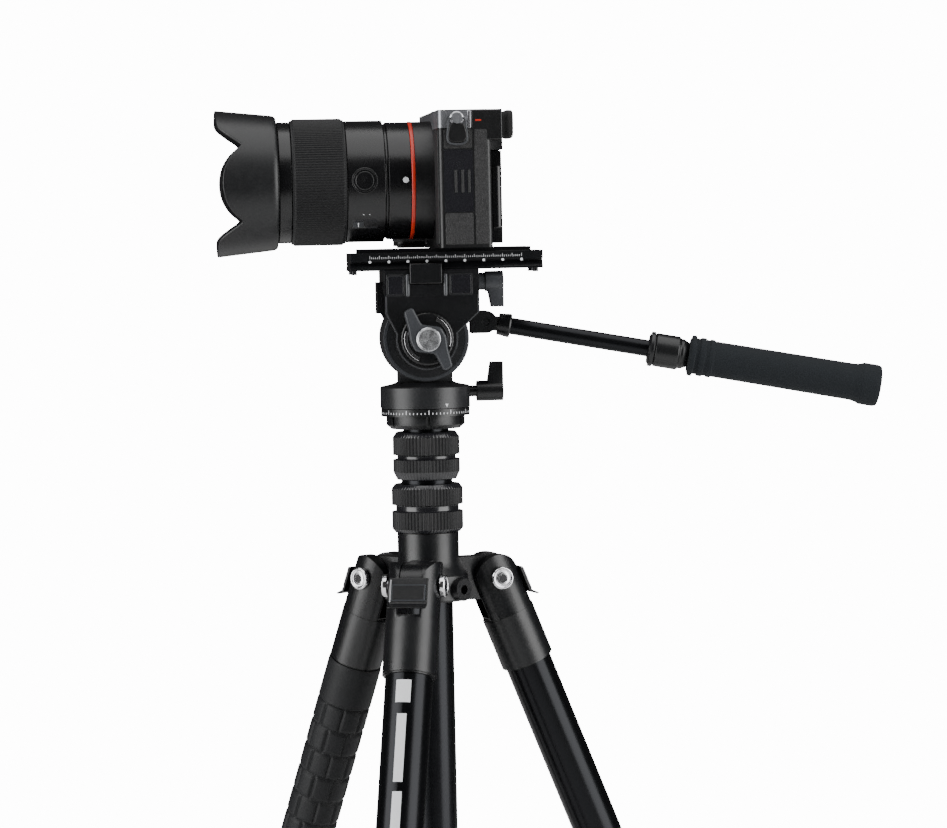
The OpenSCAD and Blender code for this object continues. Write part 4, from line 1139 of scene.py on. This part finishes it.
side = Place((-31.5 * mm, 0, opticZ), (0, -1, 0), (1, 0, 0))
buttonOut = -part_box("hold_button")[0].y
hold = turned("hold_button_dished", side, [(buttonOut - 2 * mm, 0), (buttonOut - 2 * mm, 4.95 * mm),
                                           (buttonOut - 0.3 * mm, 4.95 * mm), (buttonOut, 4.5 * mm),
                                           (buttonOut - 0.1 * mm, 3.6 * mm), (buttonOut - 0.35 * mm, 0)], 72,
              0.2 * mm)
place(dress(hold, "plastic"), "hold_button", slotOf("hold_button"), "hold_button")

slant = Place(np.array((0, 0, opticZ)), (0, -math.cos(turn / 8), -math.sin(turn / 8)), (1, 0, 0))
switchX = (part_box("focus_switch")[0].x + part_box("focus_switch")[1].x) / 2
slider = extruded("slider", slant, softened([(switchX - 2.7 * mm, -1.9 * mm), (switchX + 2.7 * mm, -1.9 * mm),
                                             (switchX + 2.7 * mm, 1.9 * mm), (switchX - 2.7 * mm, 1.9 * mm)],
                                            0.5 * mm),
                  30.3 * mm, 32.35 * mm, 0.2 * mm)
lines = [extruded("line", slant, [(switchX + a - 0.25 * mm, -1.5 * mm), (switchX + a + 0.25 * mm, -1.5 * mm),
                                  (switchX + a + 0.25 * mm, 1.5 * mm), (switchX + a - 0.25 * mm, 1.5 * mm)],
                  32.2 * mm, 32.62 * mm, 0.1 * mm) for a in (-1.6 * mm, 0, 1.6 * mm)]
place(joined("focus_switch_ridged", [dress(slider, "knobGrey"), dress(lines[1], "white")]
             + [dress(l, "knobGrey") for l in (lines[0], lines[2])]),
      "focus_switch", slotOf("focus_switch"), "focus_switch")
print("lens ready")


# Camera

bodyLow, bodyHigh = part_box("camera_body")
coverLow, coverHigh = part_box("camera_top_cover")
doorLow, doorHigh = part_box("card_door")
leftFace, rightFace = bodyLow.y, bodyHigh.y
shellFront, shellBack = doorLow.x - 3 * mm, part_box("monitor")[0].x - 0.3 * mm
baseZ, coverZ, topZ = bodyLow.z, coverLow.z, coverHigh.z
ringHub = np.array(joints["strap_ring_swing"]["pos_m"])


def rounded(x0, x1, y0, y1, radius):
    return softened([(x0, y0), (x1, y0), (x1, y1), (x0, y1)], radius, 6)


def bodyShell():
    # The shell with raised panels on its left side, leather on its front and grip, and buttons on its back.
    parts = [dress(smoothedNode("camera_body", 0.9 * mm, 3), "body")]
    left = Place((0, leftFace, 0), (0, -1, 0), (1, 0, 0))
    for name, x0, x1, z0, z1 in (("port", 2.9, 17.5, 51.2, 61.0), ("base", 2.9, 17.5, 1.6, 17.9),
                                 ("rear", 18.6, 25.4, 1.6, 61.0)):
        line = rounded(shellFront + x0 * mm, shellFront + x1 * mm, baseZ + z0 * mm, baseZ + z1 * mm, 0.8 * mm)
        parts.append(dress(extruded(name, left, line, -0.4 * mm, 0.3 * mm, 0.28 * mm, 3), "leather"))
    seam = rounded(doorLow.x - 0.3 * mm, doorHigh.x + 0.3 * mm, baseZ + 18.3 * mm, baseZ + 50.7 * mm,
                   0.5 * mm)
    parts.append(dress(extruded("seam", left, seam, -0.3 * mm, 0.04 * mm, 0), "groove"))
    front = Place((shellFront, 0, 0), (-1, 0, 0), (0, -1, 0))
    for y0, y1 in ((-50.5, -32.2), (32.2, 43.4)):
        line = rounded(-y1 * mm, -y0 * mm, baseZ + 2 * mm, coverZ - 1 * mm, 1.5 * mm)
        parts.append(dress(extruded("skin", front, line, -0.5 * mm, 0.45 * mm, 0.4 * mm, 3), "leather"))
    upright = Place((0, 0, 0), (0, 0, 1), (1, 0, 0))
    gripFront = bodyLow.x - 0.4 * mm
    grip = softened([(gripFront, 43.7 * mm), (gripFront + 25 * mm, 43.7 * mm), (shellBack - 3 * mm, 60 * mm),
                     (shellBack - 3 * mm, rightFace + 0.4 * mm), (gripFront, rightFace + 0.4 * mm)], 5.4 * mm,
                    10)
    parts.append(dress(extruded("gripSkin", upright, grip, baseZ + 3.2 * mm, coverZ - 1.2 * mm, 1.2 * mm, 4),
                       "leather"))
    for r, depth in ((26.6, 0.9), (24.2, 1.5)):
        ring = turned("mount", optic,
                      [(-shellFront - 6 * mm, r * mm - 2.2 * mm), (-shellFront - 6 * mm, r * mm),
                       (4.7 * mm - depth * mm, r * mm), (4.7 * mm - depth * mm, r * mm - 2.2 * mm)],
                      120, 0.2 * mm)
        parts.append(dress(ring, "steel"))
    back = Place((shellBack, 0, 0), (1, 0, 0), (0, 1, 0))
    for y, z, r, high in ((51, 28, 8.6, 1.8), (40, 44, 2.2, 1.4), (40, 11, 2.2, 1.4), (60, 47, 2.6, 1.4),
                          (50, 47, 2.2, 1.2)):
        spot = Place((shellBack, y * mm, baseZ + z * mm), (1, 0, 0), (0, 1, 0))
        wheel = turned("button", spot, [(-0.5 * mm, 0), (-0.5 * mm, r * mm), (high * mm * 0.7, r * mm),
                                        (high * mm, r * mm * 0.86), (high * mm * 0.8, 0)], 64, 0.2 * mm,
                       ribs(36, 0.2 * mm, r * mm * 0.97) if r > 5 else None, sharp=50)
        parts.append(dress(wheel, "plastic"))
    rest = rounded(58 * mm, 69 * mm, baseZ + 30 * mm, baseZ + 41 * mm, 4 * mm)
    parts.append(dress(extruded("rest", back, rest, -0.5 * mm, 2.4 * mm, 1.2 * mm, 4), "leather"))
    return joined("camera_body_finished", parts)


def topCover():
    # Cast cover with a bright chamfered strip on its left side in front of the finder block, a red mark, a strap
    # lug and a second dial.
    parts = [dress(smoothedNode("camera_top_cover", 0.8 * mm, 3), "silver")]
    left = Place((0, leftFace, 0), (0, -1, 0), (1, 0, 0))
    block = rounded(shellFront + 17.4 * mm, shellBack + 5.9 * mm, coverZ - 6.5 * mm, topZ - 0.3 * mm,
                    0.8 * mm)
    sideBlock = Place((0, leftFace + 2.2 * mm, 0), (0, -1, 0), (1, 0, 0))
    parts.append(dress(extruded("finder", sideBlock, block, -24 * mm, 2.4 * mm, 0.9 * mm, 3), "body"))
    strip = rounded(shellFront + 15.4 * mm, shellFront + 17 * mm, coverZ - 0.3 * mm, topZ - 0.6 * mm,
                    0.4 * mm)
    parts.append(dress(extruded("strip", left, strip, -0.6 * mm, 0.22 * mm, 0.2 * mm), "steel"))
    mark = rounded(shellFront + 19.4 * mm, shellFront + 22.4 * mm, topZ - 6.1 * mm, topZ - 5.3 * mm, 0.2 * mm)
    parts.append(dress(extruded("mark", left, mark, -0.3 * mm, 0.24 * mm, 0), "red"))
    lug = Place((ringHub[0], leftFace, ringHub[2]), (0, -1, 0), (1, 0, 0))
    parts.append(dress(turned("lug", lug,
                              [(-1 * mm, 0), (-1 * mm, 3.6 * mm), (0.5 * mm, 3.6 * mm), (0.9 * mm, 2.8 * mm),
                               (0.9 * mm, 0)], 48, 0.2 * mm), "steel"))
    dial = Place((shellBack - 6 * mm, 63 * mm, topZ - 1 * mm), (0, 0, 1), (1, 0, 0))
    parts.append(dress(turned("thumbDial", dial, [(0, 0), (0, 6.5 * mm), (0.9 * mm, 6.5 * mm), (1.0 * mm, 0)],
                              144, 0.1 * mm, ribs(36, 0.3 * mm, 6.3 * mm), sharp=50), "plastic"))
    return joined("camera_top_cover_finished", parts)


place(bodyShell(), "camera", slotOf("camera_body"), "camera_body")
place(topCover(), "camera", slotOf("camera_top_cover"), "camera_top_cover")

monitorLow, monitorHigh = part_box("monitor")
screenBack = Place((monitorHigh.x, 0, 0), (1, 0, 0), (0, 1, 0))
screenLine = rounded(-34.5 * mm, 31.5 * mm, monitorLow.z + 3.5 * mm, monitorHigh.z - 3.5 * mm, 1 * mm)
screen = extruded("screen", screenBack, screenLine, -0.5 * mm, 0.12 * mm, 0.1 * mm)
place(joined("monitor_finished", [dress(smoothedNode("monitor", 0.6 * mm, 3), "plastic"),
                                  dress(screen, "screen")]), "monitor", slotOf("monitor"), "monitor")

cupLow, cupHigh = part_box("eyecup")


def eyeCup():
    # Rubber ring on a superellipse: sections inset from the outer line, from the frame out to the soft lip.
    middleY, middleZ = (cupLow.y + cupHigh.y) / 2, (cupLow.z + cupHigh.z) / 2
    halfY, halfZ = (cupHigh.y - cupLow.y) / 2, (cupHigh.z - cupLow.z) / 2
    angle = np.linspace(0, turn, 120, endpoint=False)
    section = softened([(0, 0.9 * mm), (1.5 * mm, 0.9 * mm), (3.4 * mm, 0), (5.6 * mm, 0.1 * mm),
                        (6 * mm, 0.8 * mm),
                        (5.6 * mm, 1.9 * mm), (2.2 * mm, 3.4 * mm), (1.2 * mm, 4.6 * mm), (0, 4.6 * mm)],
                       0.5 * mm, 5)

    def bend(v):
        return np.sign(v) * np.abs(v) ** 0.45

    y = middleY + (halfY - section[:, 1])[:, None] * bend(np.cos(angle))
    z = middleZ + (halfZ - section[:, 1])[:, None] * bend(np.sin(angle))
    x = cupLow.x + section[:, 0][:, None] + 0 * angle
    cup = surface("cup", np.stack([x, y, z], -1), True, True, 50)
    back = Place((cupLow.x, middleY, middleZ), (1, 0, 0), (0, 1, 0))
    pane = extruded("pane", back, rounded(-8.2 * mm, 8.2 * mm, -3.6 * mm, 3.6 * mm, 0.9 * mm), 0.1 * mm,
                    0.9 * mm, 0.1 * mm)
    rim = extruded("rim", back, rounded(-11.5 * mm, 11.5 * mm, -5.2 * mm, 5.2 * mm, 1.2 * mm), 0.05 * mm,
                   0.5 * mm, 0.1 * mm)
    return joined("eyecup_rubber", [dress(cup, "foot"), dress(pane, "screen"), dress(rim, "plastic")])


place(eyeCup(), "camera", slotOf("eyecup"), "eyecup")
place(dress(smoothedNode("card_door", 0.35 * mm, 3), "leather"), "card_door", slotOf("card_door"),
      "card_door")
place(dress(smoothedNode("battery_door", 0.35 * mm), "plastic"), "battery_door", slotOf("battery_door"),
      "battery_door")
place(dress(smoothedNode("mode_dial", 0.25 * mm), "silver"), "mode_dial", slotOf("mode_dial"), "mode_dial")
place(dress(smoothedNode("shutter_button", 0.4 * mm, 3), "steel"), "shutter_button", slotOf("shutter_button"),
      "shutter_button")


def strapRing():
    # Bright wire bent to a rounded triangle, and a moulded guard behind it.
    low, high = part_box("strap_ring")
    hub = ringHub
    wire = 0.6 * mm
    drop = hub[2] - low.z - wire
    middle = hub[0]
    half = (high.x - low.x) / 2 - wire
    path = softened([(middle - 4.2 * mm, hub[2]), (middle + 4.2 * mm, hub[2]),
                     (middle + half, hub[2] - drop * 0.86),
                     (middle + half * 0.6, hub[2] - drop), (middle - half * 0.6, hub[2] - drop),
                     (middle - half, hub[2] - drop * 0.86)], 2.0 * mm, 8)
    ahead = np.roll(path, -1, 0) - np.roll(path, 1, 0)
    ahead /= np.linalg.norm(ahead, axis=1, keepdims=True)
    out = np.stack([ahead[:, 1], -ahead[:, 0]], 1)
    angle = np.linspace(0, turn, 16, endpoint=False)
    x = path[:, 0][:, None] + out[:, 0][:, None] * wire * np.cos(angle)
    z = path[:, 1][:, None] + out[:, 1][:, None] * wire * np.cos(angle)
    y = hub[1] + wire * np.sin(angle)[None, :] + 0 * x
    ring = surface("ring", np.stack([x, y, z], -1), True, True, 60)
    guardPlace = Place((middle, hub[1], hub[2]), (0, -1, 0), (1, 0, 0))
    guard = softened([(-3.6 * mm, -2.6 * mm), (3.6 * mm, -2.6 * mm), (half * 0.98, -drop * 0.7),
                      (half * 0.7, -drop * 0.92),
                      (-half * 0.7, -drop * 0.92), (-half * 0.98, -drop * 0.7)], 2.2 * mm, 8)
    leather = extruded("guard", guardPlace, guard, -0.65 * mm, 0.75 * mm, 0.4 * mm, 3)
    return joined("strap_ring_and_guard", [dress(ring, "knobGrey"), dress(leather, "body")])


place(strapRing(), "strap_ring", slotOf("strap_ring"), "strap_ring")
dress(frame["nodes"]["image_sensor"], "sensor")
dress(frame["nodes"]["battery"], "plastic")
print("camera ready")


# Light, floor and view, as in the photograph: two tall soft boxes at the sides and one overhead.

viewSizes = {"azimuth": -4.5, "distance": 2.0, "height": 0.615, "lens": 143.3, "roll": -1.2,
             "target": (0.0255, 0.5177), "sideAngle": 62, "sideWatts": 46, "topWatts": 16, "fill": 0.04,
             "backdrop": 14}


def softBox(name, spot, aim, wide, tall, watts):
    light = bpy.data.lights.new(name, "AREA")
    light.shape, light.size, light.size_y, light.energy = "RECTANGLE", wide, tall, watts
    obj = bpy.data.objects.new(name, light)
    bpy.context.scene.collection.objects.link(obj)
    obj.location = spot
    towards = mathutils.Vector(aim) - mathutils.Vector(spot)
    obj.rotation_euler = towards.to_track_quat("-Z", "Y").to_euler()
    return obj


def buildStage():
    middle = (cadBox[0] + cadBox[1]) / 2
    facing = math.radians(viewSizes["azimuth"])
    ahead = mathutils.Vector((math.sin(facing), -math.cos(facing), 0))
    for name, side in (("left_light", -1), ("right_light", 1)):
        swing = math.radians(viewSizes["azimuth"] + side * viewSizes["sideAngle"])
        spot = mathutils.Vector((math.sin(swing), -math.cos(swing), 0)) * 1.7
        spot.z = middle.z + 0.25
        softBox(name, spot, (0, 0, middle.z), 1.3, 2.2, viewSizes["sideWatts"])
    softBox("top_light", (0, -0.2, cadBox[1].z + 1.0), (0, 0, middle.z), 1.6, 1.4, viewSizes["topWatts"])

    floor = bpy.data.meshes.new("floor")
    half = 1.6
    floor.from_pydata([(-half, -half, 0), (half, -half, 0), (half, half, 0), (-half, half, 0)], [],
                      [(0, 1, 2, 3)])
    ground = bpy.data.objects.new("floor", floor)
    bpy.context.scene.collection.objects.link(ground)
    wear(ground, Paint("floorPaint", Base_Color=(0.9, 0.9, 0.9, 1), Roughness=0.7).material)

    camera = bpy.data.cameras.new("view")
    camera.lens, camera.sensor_width = viewSizes["lens"], 36
    eye = bpy.data.objects.new("view", camera)
    bpy.context.scene.collection.objects.link(eye)
    eye.location = ahead * viewSizes["distance"] + mathutils.Vector((0, 0, viewSizes["height"]))
    right = mathutils.Vector((math.cos(facing), math.sin(facing), 0))
    target = right * viewSizes["target"][0] + mathutils.Vector((0, 0, viewSizes["target"][1]))
    aim = (target - eye.location).to_track_quat("-Z", "Y")
    eye.rotation_euler = (aim @ mathutils.Quaternion((0, 0, 1), math.radians(viewSizes["roll"]))).to_euler()
    bpy.context.scene.camera = eye


def buildWorld():
    # White where the camera sees it, dim for the light it gives, so that the rims stay dark.
    world = bpy.data.worlds.new("world")
    world.use_nodes = True
    tree = world.node_tree
    tree.nodes.clear()
    seen = tree.nodes.new("ShaderNodeLightPath")
    white, dim = (tree.nodes.new("ShaderNodeBackground") for _ in range(2))
    white.inputs["Color"].default_value = (1, 1, 1, 1)
    white.inputs["Strength"].default_value = viewSizes["backdrop"]
    dim.inputs["Color"].default_value = (1, 1, 1, 1)
    dim.inputs["Strength"].default_value = viewSizes["fill"]
    mix = tree.nodes.new("ShaderNodeMixShader")
    out = tree.nodes.new("ShaderNodeOutputWorld")
    tree.links.new(seen.outputs["Is Camera Ray"], mix.inputs[0])
    tree.links.new(dim.outputs[0], mix.inputs[1])
    tree.links.new(white.outputs[0], mix.inputs[2])
    tree.links.new(mix.outputs[0], out.inputs["Surface"])
    bpy.context.scene.world = world


buildStage()
buildWorld()
print("stage ready")
